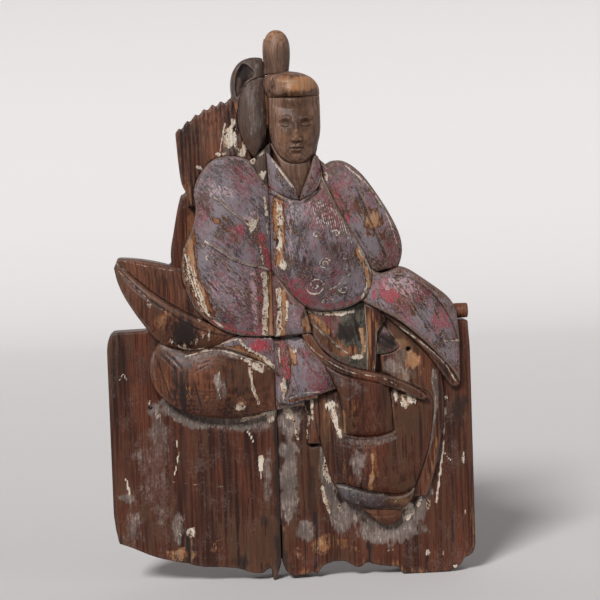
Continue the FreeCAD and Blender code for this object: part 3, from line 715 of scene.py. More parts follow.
class MakeStage(bpy.types.Operator):
    """Lays the pale floor, hangs the soft lights and sets up the camera"""
    bl_idname = "carving.stage"
    bl_label = "Stage"

    def execute(self, context):
        sizes, tones = context.scene.carving_sizes, context.scene.carving_colours
        sheet = bmesh.new()
        foot = [sheet.verts.new((FLOOR_SIDE, y, 0)) for y in (FLOOR_FRONT, FLOOR_BEND)]
        sheet.edges.new(foot)
        bend = bmesh.ops.spin(sheet, geom=[foot[1]], cent=(FLOOR_SIDE, FLOOR_BEND, FLOOR_CURVE),
                              axis=(1, 0, 0), angle=math.pi / 2, steps=24)["geom_last"]
        rise = bmesh.ops.extrude_vert_indiv(sheet, verts=corners(bend))["verts"]
        bmesh.ops.translate(sheet, verts=rise, vec=(0, 0, FLOOR_RISE))
        wide = bmesh.ops.extrude_edge_only(sheet, edges=sheet.edges[:])["geom"]
        bmesh.ops.translate(sheet, verts=corners(wide), vec=(FLOOR_WIDTH, 0, 0))
        bmesh.ops.recalc_face_normals(sheet, faces=sheet.faces)
        paper = bpy.data.meshes.new("floor")
        sheet.to_mesh(paper)
        sheet.free()
        floor = bpy.data.objects.new("floor", paper)
        context.scene.collection.objects.link(floor)
        matt = Finish("floor_paper")
        mottle = matt.noise((3, 3, 3), 3.0, 0.5, 1.0)
        grey = matt.mix(mottle * 0.06, tones.floor, tones.room)
        paper.materials.append(matt.shade(grey, 0.9, mottle, 0.0001))
        paper.polygons.foreach_set("use_smooth", [True] * len(paper.polygons))
        world = bpy.data.worlds.new("room")
        context.scene.world = world
        world.use_nodes = True
        air = world.node_tree.nodes["Background"]
        air.inputs["Color"].default_value = (*tones.room, 1.0)
        air.inputs["Strength"].default_value = ROOM_STRENGTH
        for name, towards, spread, power in (("key", (-0.36, -0.72, 0.59), 16, 3.2),
                                             ("fill", (0.75, -0.60, 0.25), 40, 0.35)):
            light = bpy.data.lights.new(name, "SUN")
            light.angle, light.energy = math.radians(spread), power
            lamp = bpy.data.objects.new(name, light)
            lamp.location = Vector(towards) * 2
            lamp.rotation_mode = "QUATERNION"
            lamp.rotation_quaternion = (-Vector(towards)).to_track_quat("-Z", "Y")
            context.scene.collection.objects.link(lamp)
        eye = bpy.data.cameras.new("camera")
        eye.lens, eye.sensor_width = 120.0, 36.0
        camera = bpy.data.objects.new("camera", eye)
        turn, lift = math.radians(CAMERA_TURN), math.radians(CAMERA_LIFT)
        aim = Vector((CAD_LOW.x * 0.5 + CAD_HIGH.x * 0.5 + AIM_ASIDE, 0.0, CAD_HIGH.z * AIM_HEIGHT))
        away = Vector((math.sin(turn) * math.cos(lift), -math.cos(turn) * math.cos(lift), math.sin(lift)))
        camera.location = aim + away * sizes.view_distance
        camera.rotation_mode = "QUATERNION"
        camera.rotation_quaternion = ((-away).to_track_quat("-Z", "Y")
                                      @ Quaternion((0, 0, 1), math.radians(CAMERA_ROLL)))
        context.scene.collection.objects.link(camera)
        context.scene.camera = camera
        context.scene.view_settings.view_transform = "Standard"
        return {"FINISHED"}


class MakeBoards(bpy.types.Operator):
    """Works the two boards: rounded corners, hollows round the figure, scraped and dirty heartwood"""
    bl_idname = "carving.boards"
    bl_label = "Boards"

    def execute(self, context):
        cell = context.scene.carving_sizes.board_cell
        for node, finish in (("left_board", self.left), ("right_board", self.right)):
            board = carve(node, cell, 0)
            board.edges(1.4)
            board.weather(0.25, 90, 8, 21)
            board.streak("grime", [(SEAM_SHARE[node], 0.0), (SEAM_SHARE[node], 0.48)], 9, 0.85)
            foot = ease(1 - board.rim / 15) * (board.v < 0.13)
            board.lay("bare", foot * (0.6 + 0.8 * grain_noise(board.x * 9, board.z, 14, 61, 2)))
            board.lay("grime", foot * (0.2 + 1.1 * grain_noise(board.x * 7, board.z, 16, 67, 2)))
            finish(board)
            board.done("boards", "bare_wood")
        return {"FINISHED"}

    def left(self, board):
        under_knee = [(0.30, 0.40), (0.36, 0.36), (0.45, 0.34), (0.58, 0.32), (0.76, 0.31),
                      (0.91, 0.31), (0.98, 0.32)]
        board.groove(under_knee, 9, 4.5, 0.1)
        board.work(
            grooves=[(3, 0.7, 2, 38, 1, 25, 1, 13)],
            checks=[(1, 1.4, 81, 16, 79, 9, 77, 2)],
            bare=[(66, 16, 30, 60, 0.3), (52, 68, 8, 40, 0.7)],
            ochre=[(39, 6, 15, 9, 0.7), (59, 7, 12, 8, 0.4)],
            gesso=[(96, 32, 6, 8, 0.8), (24, 35, 2.4, 5, 0.7, -25), (30, 33, 3, 5, 0.6, -20),
                   (89, 23, 3.2, 9), (40, 10, 3, 8, 0.6), (46, 10, 4.5, 7)],
            gesso_lines=[(4.5, 0.8, 78, 31, 88, 32, 98, 33), (1.6, 0.8, 90, 22, 89, 20)],
            pale=[(27, 34, 13, 20, 0.85, 6), (28, 29, 10, 26, 0.55), (26, 21, 22, 50, 0.42),
                  (10, 11, 14, 28, 0.5), (9, 17, 9, 7, 0.8), (93, 20, 6, 34, 0.6), (38, 11, 6, 18, 0.9),
                  (63, 13, 26, 40, 0.16)],
            pale_lines=[(10, 1.6, 36, 35, 44, 33, 52, 32, 66, 32, 81, 31, 98, 33)],
            line_lines=[(0.9, 0.7, 7, 40, 9, 41, 11, 40), (1.1, 0.8, 39, 28, 40, 25, 37, 21),
                        (1.2, 0.9, 8, 21, 9, 20, 10, 18), (0.7, 0.42, 35, 20, 56, 19, 81, 18),
                        (1, 0.8, 82, 29, 84, 28, 85, 27)],
            grime=[(14, 42, 40, 38, 0.5), (42, 33, 10, 7, 0.6), (24, 34, 1.6, 2.6), (9, 40, 1.8, 1.8),
                   (93, 22, 4, 9, 0.6), (90, 11, 5, 12, 0.7), (39, 12, 3.4, 3), (75, 4, 9, 9, 0.8)],
            grime_lines=[(8, 0.5, 13, 31, 11, 26, 13, 19), (5, 0.4, 22, 23, 20, 17, 22, 9),
                         (5, 0.6, 44, 30, 43, 20, 44, 13, 43, 5), (1, 1, 44, 9, 44, 7, 45, 3)])
        board.groove([(0.44, 0.10), (0.44, 0.07), (0.45, 0.03)], 1.0, 4.5, 0.3)

    def right(self, board):
        board.work(
            dishes=[(33, 17, 28, 40, 6), (60, 16, 26, 46, 5), (47, 10, 36, 20, 4), (18, 27, 8, 5, 4)],
            checks=[(1.2, 2, 18, 13, 18, 7, 17, 2), (1.6, 3, 44, 7, 45, 5, 45, 2),
                    (1.2, 1.8, 75, 6, 75, 4, 74, 1), (1, 0.8, 91, 30, 89, 18, 88, 6)],
            bare=[(25, 7, 22, 12, 0.9)],
            ochre=[(21, 7, 16, 12, 0.55), (9, 5, 10, 10, 0.5), (39, 6, 12, 9, 0.35)],
            gesso=[(6, 33, 8, 8, 0.75), (30, 14, 4, 5, 0.7), (65, 12, 6, 13, 1, -20),
                   (76, 14, 3.5, 7, 0.6), (86, 35, 5, 8, 0.8), (95, 23, 1.8, 7, 0.9),
                   (95, 12, 1.8, 4, 0.8), (75, 4, 2.6, 6), (83, 4, 1.6, 3, 0.7), (89, 1, 5, 2.6),
                   (97, 3, 2, 2), (18, 6, 1.8, 2.6, 0.9)],
            gesso_lines=[(2.6, 0.7, 4, 35, 8, 32, 10, 28), (2.4, 0.6, 14, 35, 16, 32, 15, 28),
                         (3.4, 0.95, 24, 24, 24, 21, 26, 19), (3.4, 0.85, 22, 18, 23, 16, 25, 13),
                         (3.4, 0.85, 76, 21, 75, 18, 71, 14)],
            pale=[(7, 31, 12, 18), (5, 22, 10, 44, 0.95), (5, 15, 12, 30), (11, 10, 12, 12, 0.9),
                  (35, 13, 24, 20), (54, 9, 38, 14), (65, 10, 14, 20, 0.9)],
            pale_lines=[(9, 1, 24, 26, 25, 20, 27, 16, 33, 11),
                        (12, 0.9, 82, 35, 79, 27, 75, 18, 71, 12)],
            line_lines=[(1.8, 0.6, 86, 33, 85, 27, 83, 21, 80, 14), (0.9, 0.7, 85, 24, 87, 23, 89, 22),
                        (1, 0.7, 52, 5, 55, 5, 57, 5)],
            grime=[(43, 10, 8, 12, 0.45), (94, 32, 11, 22, 0.8), (88, 11, 18, 50, 0.35),
                   (18, 27, 9, 4.5), (60, 3, 44, 14, 0.35)],
            grime_lines=[(3.2, 1.3, 28, 17, 31, 15, 38, 13, 46, 10, 58, 9, 65, 12),
                         (6, 0.7, 17, 22, 16, 15, 18, 8), (2, 0.9, 44, 7, 45, 5, 45, 2)])
        board.groove([(0.82, 0.43), (0.79, 0.33), (0.74, 0.23), (0.68, 0.13)], 8, 3.0, 0.1)


class MakeHead(bpy.types.Operator):
    """Carves the head with a calm, general face, set out in equal thirds"""
    bl_idname = "carving.head"
    bl_label = "Head"

    def execute(self, context):
        head = carve("head_block", context.scene.carving_sizes.face_cell)
        head.edges(6.0)
        head.dish((0.5, 0.5), 34, 40, 3.5)
        head.dish((0.5, 1.02), 27, 15, -8.5)
        for side in (-1, 1):
            def across(millimetres):
                return 0.5 + side * millimetres / head.wide
            head.groove([(across(4), 0.655), (across(10), 0.695), (across(18), 0.655)], 2.4, -1.1)
            head.dish((across(10.2), 0.605), 8.6, 5.2, 2.6)
            head.dish((across(10.2), 0.580), 5.6, 3.4, -2.7)
            lid = [(across(5.2), 0.572), (across(10), 0.553), (across(15), 0.577)]
            head.groove(lid, 0.75, 1.0)
            head.groove([(across(4.8), 0.590), (across(10), 0.632), (across(15.4), 0.600)], 0.7, 0.6)
            head.dish((across(14), 0.42), 9, 11, -1.2)
            head.dish((across(4.4), 0.355), 3.0, 2.8, -2.2)
            head.dish((across(2.4), 0.325), 1.5, 1.0, 1.3)
            head.dish((across(20), 0.28), 9, 16, 1.6)
            brow = [(across(4.5), 0.665), (across(10), 0.705), (across(17.5), 0.665)]
            # Painted shade in the creases of the lids and under the brows.
            head.streak("grime", lid, 0.9, 0.7)
            head.streak("grime", brow, 1.5, 0.35)
        head.groove([(0.5, 0.66), (0.5, 0.54), (0.5, 0.40)], 2.7, -2.4, 0.3)
        head.groove([(0.5, 0.52), (0.5, 0.44), (0.5, 0.37)], 3.6, -1.9, 0.3)
        head.dish((0.5, 0.372), 4.8, 4.4, -2.4)
        head.dish((0.5, 0.312), 5.0, 1.8, 1.3)
        head.groove([(0.5, 0.305), (0.5, 0.265)], 1.1, 0.5, 0)
        head.groove([(0.36, 0.238), (0.45, 0.262), (0.5, 0.252), (0.55, 0.262), (0.64, 0.238)], 1.5, -1.1)
        head.groove([(0.39, 0.212), (0.5, 0.196), (0.61, 0.212)], 1.9, -1.3)
        head.groove([(0.35, 0.236), (0.43, 0.231), (0.5, 0.234), (0.57, 0.231), (0.65, 0.236)], 0.75, 1.3)
        # Painted shade in the line of the mouth.
        head.streak("grime", [(0.35, 0.236), (0.5, 0.232), (0.65, 0.236)], 0.9, 0.6)
        head.dish((0.5, 0.155), 7, 2.6, 0.8)
        head.dish((0.5, 0.075), 8, 6, -1.8)
        head.daub("ochre", (0.5, 0.42), 5, 9, 0.55)
        head.daub("ochre", (0.25, 0.40), 7, 7, 0.45)
        head.daub("ochre", (0.74, 0.40), 6, 7, 0.40)
        head.daub("ochre", (0.5, 0.08), 8, 5, 0.45)
        # Painted shadow of the cap's rim across the top of the forehead.
        head.daub("grime", (0.5, 0.93), 24, 5, 0.30)
        head.daub("grime", (0.97, 0.35), 6, 22, 0.5)
        head.gouge(80, 5, 2.5, 0.12, 31)
        head.done()
        return {"FINISHED"}


class MakeCap(bpy.types.Operator):
    """Carves the stiff cap, its knob, its rolled tail and the lock of hair"""
    bl_idname = "carving.cap"
    bl_label = "Cap"

    def execute(self, context):
        crown = carve("cap_crown", SMALL_CELL)
        crown.edges(5.0)
        crown.work(
            dishes=[(50, 0, 30, 13, -9)],
            grooves=[(2.5, 0.6, 11, 59, 40, 89, 76, 82, 100, 45), (0.9, 0.5, 65, 71, 66, 47, 66, 23)],
            ochre=[(56, 42, 22, 10, 1.1)],
            grime=[(12, 60, 9, 10, 0.5)],
            grime_lines=[(3, 0.7, 10, 24, 22, -1, 38, 2)])
        crown.done()
        tail = carve("cap_tail", SMALL_CELL)
        tail.edges(3.0)
        tail.work(
            grooves=[(2, 0.8, 36, 64, 29, 36, 33, 5)],
            bare=[(18, 12, 5, 8, 0.8)],
            pale=[(75, 70, 4, 16, 0.6)],
            # The dark daub is painted shade deepening the pocket inside the loop.
            grime=[(37, 73, 6, 13)])
        tail.done()
        lock = carve("side_lock", SMALL_CELL)
        lock.edges(4.0)
        lock.work(
            grooves=[(2, 0.7, 59, 97, 43, 69, 47, 36, 64, 11),
                     (2, 0.7, 85, 96, 76, 69, 77, 38, 78, 13)],
            ochre_lines=[(3, 0.9, 97, 78, 99, 60, 96, 42)],
            gesso_lines=[(2, 0.7, 103, 73, 105, 58, 100, 43)],
            pale=[(61, 48, 9, 26, 0.65)])
        lock.done()
        knob = carve("cap_knob", 0.0008)
        knob.x -= 1.6 * ease((0.40 - knob.v) * 6) * ease((0.5 - knob.u) * 4)
        # The knob is ochre at its top and darker below the top.
        knob.lay("ochre", ease((knob.v - 0.76) * 3 + knob.ragged(8, 3) * 0.5 + 0.3) * 0.6)
        knob.lay("grime", ease((0.90 - knob.v) * 3 + knob.ragged(8, 5) * 0.3) * 0.62)
        knob.done()
        return {"FINISHED"}


class MakeCollars(bpy.types.Operator):
    """Carves the crossed collars, the neck between them and the strip at the nape"""
    bl_idname = "carving.collars"
    bl_label = "Collars"

    def execute(self, context):
        collar = carve("collar_left", SMALL_CELL)
        collar.edges(2.0)
        collar.work(
            grooves=[(1.6, 0.8, 12, 50, 49, 29, 93, 6)],
            crimson=[(10, 18, 3, 8)],
            line_lines=[(1.4, 0.9, 17, 82, 48, 53, 75, 31, 116, 4)])
        collar.done()
        collar = carve("collar_right", SMALL_CELL)
        collar.edges(2.0)
        collar.work(
            grooves=[(1.6, 0.8, 90, 65, 62, 34, 26, 8)],
            gesso=[(112, 60, 2.4, 5, 0.9)],
            line_lines=[(1.2, 0.9, 108, 69, 84, 34, 43, 8)])
        collar.done()
        neck = carve("neck_wedge", SMALL_CELL)
        neck.edges(2.0)
        neck.done()
        strip = carve("nape_strip", SMALL_CELL)
        strip.edges(1.6)
        strip.work(
            gesso=[(10, 62, 5, 18, 1, -52), (58, 27, 4, 12, 0.9, -50)])
        strip.done()
        return {"FINISHED"}


class MakeTorso(bpy.types.Operator):
    """Carves the robe over the chest and belly"""
    bl_idname = "carving.torso"
    bl_label = "Torso"

    def execute(self, context):
        torso = carve("torso")
        torso.edges()
        torso.gouge(70, 14, 4, 0.25, 5)
        torso.work(
            dishes=[(60, 36, 38, 34, -2)],
            folds=[(1.6, 8, 100, 26, 83, 54, 67, 76, 51, 103)],
            ochre_lines=[(6.5, 0.75, 8, 83, 8, 59, 8, 37), (5, 0.9, 86, 44, 93, 33, 96, 18)],
            gesso=[(9, 71, 5, 16, 0.9), (8, 53, 4, 12, 0.85), (11, 35, 5, 7, 0.95)],
            gesso_lines=[(2, 0.8, 87, 44, 92, 38, 96, 29), (2, 0.7, 94, 24, 94, 17, 89, 9)],
            crimson=[(26, 18, 13, 17, 0.55, 35), (8, 85, 7, 7), (15, 78, 4, 6, 0.8)],
            crimson_lines=[(5, 0.6, 31, 9, 58, 4, 89, 8)],
            pale=[(31, 77, 20, 9, 0.35)],
            pale_lines=[(3, 0.6, 20, 83, 18, 57, 19, 37)],
            line_lines=[(1.3, 1, 50, 103, 67, 77, 83, 54, 100, 27),
                        (0.7, 0.7, 74, 35, 72, 28, 65, 20, 55, 16)],
            grime=[(7, 64, 1.6, 1.8), (6, 53, 1.6, 3), (56, 39, 28, 26, 0.58)],
            grime_lines=[(2, 0.9, 1, 88, 16, 82, 29, 80, 42, 85, 49, 90)])
        for place, size, turns, start in (((0.51, 0.36), 6, 1.6, 0.5), ((0.42, 0.20), 10, 1.5, 3.4),
                                          ((0.71, 0.40), 5, -0.7, 2.0), ((0.71, 0.17), 6, 0.6, 3.4),
                                          ((0.44, 0.57), 5, 0.6, 1.0), ((0.64, 0.57), 5, -0.6, 2.6)):
            torso.scroll(place, size, turns, start, 0.75, 0.9)
        for step in range(7):
            torso.scroll((0.50 + step * 0.042, 0.07 + step * step * 0.0058), 2.2, 0.8,
                         1.2 + step * 0.4, 0.6, 0.6)
        # Pale hatch strokes over the chest: a painted highlight.
        for stroke in range(15):
            left, drop = 0.36 + stroke * 0.026, stroke * 0.012
            torso.streak("line", [(left, 0.88 - drop), (left + 0.07, 0.66 - drop)], 0.6, 0.6)
        torso.done()
        return {"FINISHED"}


class MakeLeftSleeve(bpy.types.Operator):
    """Carves the great sleeve at the left and the cuff across the waist"""
    bl_idname = "carving.left_sleeve"
    bl_label = "Left sleeve"

    def execute(self, context):
        sleeve = carve("left_sleeve")
        sleeve.edges()
        sleeve.gouge(-45, 16, 3.5, 0.3, 7)
        upper = [(0.38, 0.78), (0.56, 0.70), (0.75, 0.62)]
        lower = [(0.27, 0.54), (0.44, 0.48), (0.63, 0.42), (0.96, 0.37)]
        sleeve.fold(upper, 1.4, 9)
        sleeve.fold(lower, 1.4, 10)
        sleeve.streak("line", upper, 1.2, 0.7)
        sleeve.streak("line", lower, 1.2, 0.8)
        sleeve.work(
            dishes=[(54, 76, 26, 20, -2)],
            grooves=[(2.5, 1.2, 39, 42, 52, 34, 71, 25, 88, 20),
                     (2.5, 1.2, 28, 42, 36, 29, 53, 18, 72, 10), (2.5, 0.8, 23, 74, 36, 64, 46, 56),
                     (3, 0.8, 60, 93, 75, 85, 85, 75), (3, -1, 79, 38, 82, 20, 80, 3)],
            folds=[(1.6, 10, 15, 56, 17, 42, 23, 29, 44, 16)],
            bare=[(40, 65, 7, 3, 0.8, -35)],
            bare_lines=[(10, 1, 9, 57, 6, 42, 16, 26, 27, 14), (3, 1, 98, 35, 98, 19, 96, 1)],
            ochre_lines=[(6, 0.8, 11, 54, 12, 40, 21, 25), (2.6, 1, 98, 35, 98, 19, 96, 1)],
            gesso=[(81, 62, 6, 8, 0.95), (26, 52, 1.4, 5, 0.8), (28, 45, 1.6, 4, 0.8)],
            gesso_lines=[(9, 0.5, 4, 50, 10, 34, 22, 17), (2, 0.8, 22, 19, 30, 12, 43, 6),
                         (1.8, 0.7, 87, 50, 89, 43, 90, 38), (2.4, 0.9, 95, 76, 96, 67),
                         (1.8, 0.7, 95, 63, 97, 57), (4.4, 0.95, 90, 34, 92, 24, 90, 13, 89, 2)],
            crimson=[(61, 57, 12, 12, 0.65), (46, 53, 12, 6, 0.5), (83, 25, 4, 10, 0.8)],
            crimson_lines=[(4, 1, 20, 17, 33, 9, 56, 4), (3, 0.7, 56, 4, 74, 2, 87, 1),
                    (5, 1, 88, 55, 93, 47, 97, 38)],
            pale=[(47, 81, 17, 7, 0.75, -15), (58, 26, 28, 26, 0.4, -40), (77, 66, 9, 8, 0.8)],
            # The pale stroke up the lower fold is a painted highlight.
            pale_lines=[(4, 0.8, 77, 35, 79, 20, 78, 3)],
            grime=[(42, 92, 12, 8, 0.5)],
            grime_lines=[(2.2, 0.8, 104, 80, 102, 57, 102, 37)])
        for stroke in range(3):
            sleeve.streak("gesso", [(0.03 + stroke * 0.05, 0.52 - stroke * 0.06),
                                    (0.09 + stroke * 0.05, 0.36 - stroke * 0.04),
                                    (0.18 + stroke * 0.04, 0.20 - stroke * 0.02)], 1.0, 0.95)
        sleeve.border("pale", 2.4, 0.5)
        sleeve.done("purple_left", "purple_paint")
        cuff = carve("left_cuff")
        cuff.edges(3.0)
        cuff.work(
            grooves=[(2, 1.2, 18, 107, 43, 77, 73, 41, 93, 7)],
            bare=[(86, 23, 6, 13)],
            ochre=[(85, 20, 5, 9, 0.9)],
            ochre_lines=[(3.4, 0.8, 24, 70, 27, 36, 19, 3)],
            gesso_lines=[(4, 0.95, 13, 73, 14, 40, 9, 4), (2, 0.8, 33, 55, 32, 27)],
            crimson=[(27, 85, 4, 9, 0.8)],
            pale=[(56, 26, 8, 12, 0.6)],
            grime=[(11, 43, 1.8, 1.8), (10, 24, 1.6, 2.4)])
        cuff.done("purple_left", "crimson_paint")
        return {"FINISHED"}


class MakeRightSleeve(bpy.types.Operator):
    """Carves the right shoulder, the hanging sleeve and its lining"""
    bl_idname = "carving.right_sleeve"
    bl_label = "Right sleeve"

    def execute(self, context):
        block = carve("right_shoulder")
        block.edges()
        block.gouge(-60, 14, 3.5, 0.25, 11)
        block.work(
            grooves=[(2.5, 1, 19, 73, 33, 50, 51, 23, 65, 3)],
            folds=[(1.8, 9, 42, 81, 53, 59, 69, 31, 83, 8)],
            bare=[(63, 46, 11, 15, 0.9, 20)],
            ochre=[(63, 46, 11, 15, 0.9, 20)],
            gesso=[(8, 85, 3, 7)],
            crimson=[(23, 57, 14, 24, 0.9, 20)],
            pale=[(88, 39, 8, 8, 0.9)],
            line_lines=[(1, 0.6, 33, 93, 59, 75, 80, 50, 93, 24)])
        block.done("purple_right", "purple_paint")
        sleeve = carve("right_sleeve")
        sleeve.edges()
        sleeve.gouge(-40, 14, 3.5, 0.25, 13)
        sleeve.work(
            grooves=[(2.5, 1, 21, 73, 45, 67, 69, 50, 90, 24)],
            folds=[(1.6, 8, 22, 94, 46, 92, 72, 78, 93, 52, 102, 24)],
            bare_lines=[(3, 0.8, 106, 54, 107, 33, 104, 10)],
            ochre=[(104, 29, 4, 22, 0.7)],
            gesso_lines=[(1.3, 1, 83, 37, 93, 37, 102, 37)],
            crimson=[(29, 79, 24, 12, 0.8, -20), (81, 54, 16, 18, 0.7)],
            pale=[(49, 84, 26, 12, 0.8, -20)],
            line_lines=[(0.9, 0.4, 13, 84, 36, 80, 66, 66, 91, 46)])
        sleeve.done("purple_right", "purple_paint")
        lining = carve("sleeve_lining")
        lining.edges(3.0)
        lining.work(
            grooves=[(1.4, 1.2, 15, 78, 50, 52, 78, 25, 90, 5)],
            line_lines=[(1, 0.7, 12, 86, 48, 60, 78, 33, 94, 8)])
        lining.done("bare_wood", "weathered_wood")
        return {"FINISHED"}


class MakeArrows(bpy.types.Operator):
    """Carves the sheaf of arrows behind the shoulder"""
    bl_idname = "carving.arrows"
    bl_label = "Arrows"

    def execute(self, context):
        sheaf = carve("arrow_sheaf", SMALL_CELL)
        sheaf.edges(1.5)
        for shaft in range(17):
            foot, top = 0.05 + shaft * 0.052, 0.01 + shaft * 0.055
            sheaf.groove([(foot, 0.0), (top, 1.0)], 0.9, 0.9 if shaft % 2 else 0.6, 0)
        sheaf.work(
            bare=[(11, 10, 9, 22, 0.7)],
            gesso=[(71, 62, 9, 19, 0.85, -12), (89, 52, 7, 21, 0.9, -28), (58, 48, 6, 4, 0.8),
                   (12, -13, 2, 2), (31, 36, 8, 3, 0.7, -30)],
            gesso_lines=[(2.4, 0.8, 93, 41, 106, 31, 116, 21)],
            pale=[(74, 60, 13, 24, 0.6, -12)],
            line_lines=[(1, 0.7, 66, 77, 62, 64, 58, 51)],
            grime=[(8, 54, 5, 32, 0.7)])
        sheaf.done("bare_wood", "weathered_wood")
        return {"FINISHED"}


class MakeFlaps(bpy.types.Operator):
    """Carves the robe's two flaps beside the knee"""
    bl_idname = "carving.flaps"
    bl_label = "Robe flaps"

    def execute(self, context):
        flap = carve("robe_flap_outer")
        flap.edges()
        flap.work(
            grooves=[(1.4, 1.4, 3, 94, 20, 68, 43, 45, 67, 24, 97, 12)],
            folds=[(1.5, 6, 6, 98, 25, 75, 51, 51, 77, 30, 101, 17)],
            bare=[(78, 19, 8, 10, 0.9), (41, 30, 7, 14, 0.7, -20)],
            ochre=[(38, 37, 8, 14, 0.5, -30)],
            gesso=[(28, 55, 4, 6, 0.5), (68, 35, 3, 4, 0.6)],
            gesso_lines=[(1.6, 0.7, 44, 14, 51, 5, 61, 1, 70, 2)],
            line_lines=[(1.2, 0.8, 3, 100, 25, 76, 51, 53, 77, 31, 101, 17),
                        (1, 0.5, 4, 91, 22, 66, 41, 45)],
            grime=[(58, 22, 20, 15, 1, -20), (34, 48, 12, 9, 0.5, -40)])
        for place, tall in (((0.45, 0.11), 4), ((0.50, 0.07), 3), ((0.55, 0.06), 4), ((0.60, 0.09), 3),
                            ((0.65, 0.12), 6), ((0.70, 0.15), 4), ((0.75, 0.18), 7)):
            flap.daub("gesso", place, 1.8, tall, 0.95, -12)
            flap.streak("ochre", [(place[0] - 0.02, place[1] + 0.01), (place[0], place[1] + 0.07)], 1.6, 0.6)
        flap.done()
        flap = carve("robe_flap_inner")
        flap.edges(2.0)
        flap.work(
            line_lines=[(1.2, 0.4, 5, 97, 34, 87, 61, 80)],
            grime=[(49, 67, 40, 14, 0.5, -20)])
        flap.done("bare_wood", "weathered_wood")
        return {"FINISHED"}


class MakeSash(bpy.types.Operator):
    """Carves the black sash: bow, lobe and strap"""
    bl_idname = "carving.sash"
    bl_label = "Sash"

    def execute(self, context):
        bow = carve("sash_bow")
        bow.edges(2.0)
        bow.work(
            dishes=[(62, 64, 16, 14, -1.5)],
            grooves=[(3, 1.2, 43, 84, 59, 64, 74, 38), (3, 1.2, 79, 86, 85, 63, 90, 38)],
            folds=[(2, 8, 1, 77, 23, 60, 45, 42, 67, 27)],
            bare=[(74, 30, 10, 5, 0.9)],
            bare_lines=[(9, 0.9, 14, 66, 36, 48, 57, 30)],
            ochre_lines=[(5, 0.6, 5, 83, 24, 74, 36, 59), (3, 0.9, 91, 58, 95, 36, 91, 21)],
            gesso=[(83, 20, 9, 3.5, 0.9)],
            gesso_lines=[(3.2, 0.85, 2, 89, 40, 83, 79, 85), (1.8, 0.8, 99, 74, 100, 52, 96, 26)],
            pale_lines=[(6, 0.8, 14, 66, 36, 48, 57, 30)],
            line_lines=[(1.2, 0.6, 1, 79, 23, 60, 45, 42, 67, 27)],
            grime=[(68, 58, 15, 15, 0.9)],
            # The dark band along the top is painted shadow under the belly.
            grime_lines=[(3.2, 1, -4, 101, 21, 94, 50, 90, 79, 93, 96, 101)])
        bow.done()
        lobe = carve("sash_lobe", SMALL_CELL)
        lobe.edges(1.6)
        lobe.work(
            grooves=[(2.5, 1, 15, 60, 55, 40, 95, 27)],
            line_lines=[(1.2, 0.8, 8, 79, 10, 48, 9, 10)],
            grime=[(50, 45, 14, 12, 0.9)])
        lobe.done()
        strap = carve("sash_strap", SMALL_CELL)
        strap.edges(1.6)
        strap.work(
            grooves=[(1.5, 0.6, 31, 85, 22, 53, 12, 9)],
            bare=[(30, 45, 8, 40)],
            gesso=[(50, 6, 5, 6, 0.7)])
        strap.border("line", 1.4, 0.6)
        strap.done("bare_wood", "black_paint")
        return {"FINISHED"}


class MakeSword(bpy.types.Operator):
    """Carves the sword in its scabbard and the tassel"""
    bl_idname = "carving.sword"
    bl_label = "Sword"

    def execute(self, context):
        sword = carve("sword", SMALL_CELL)
        sword.edges(2.4)
        sword.work(
            grooves=[(1.4, -0.5, 0, 86, 17, 58, 39, 37, 66, 21, 88, -2), (1, 0.8, 34, 48, 32, 34),
                     (1, 0.8, 38, 45, 36, 31)],
            gesso=[(89, 3, 2, 3, 0.6)],
            line_lines=[(1, 0.5, -3, 101, 14, 69, 37, 45, 66, 32, 89, 3)],
            grime=[(36, 40, 5, 8, 0.6)])
        sword.done()
        tassel = carve("tassel", SMALL_CELL)
        tassel.edges(2.0)
        tassel.work(
            grooves=[(1.2, 1.2, 15, 100, 16, 54, 19, 11), (1.2, 1.2, 61, 100, 62, 53, 73, 15)],
            gesso=[(36, 85, 3, 14)])
        tassel.done()
        return {"FINISHED"}


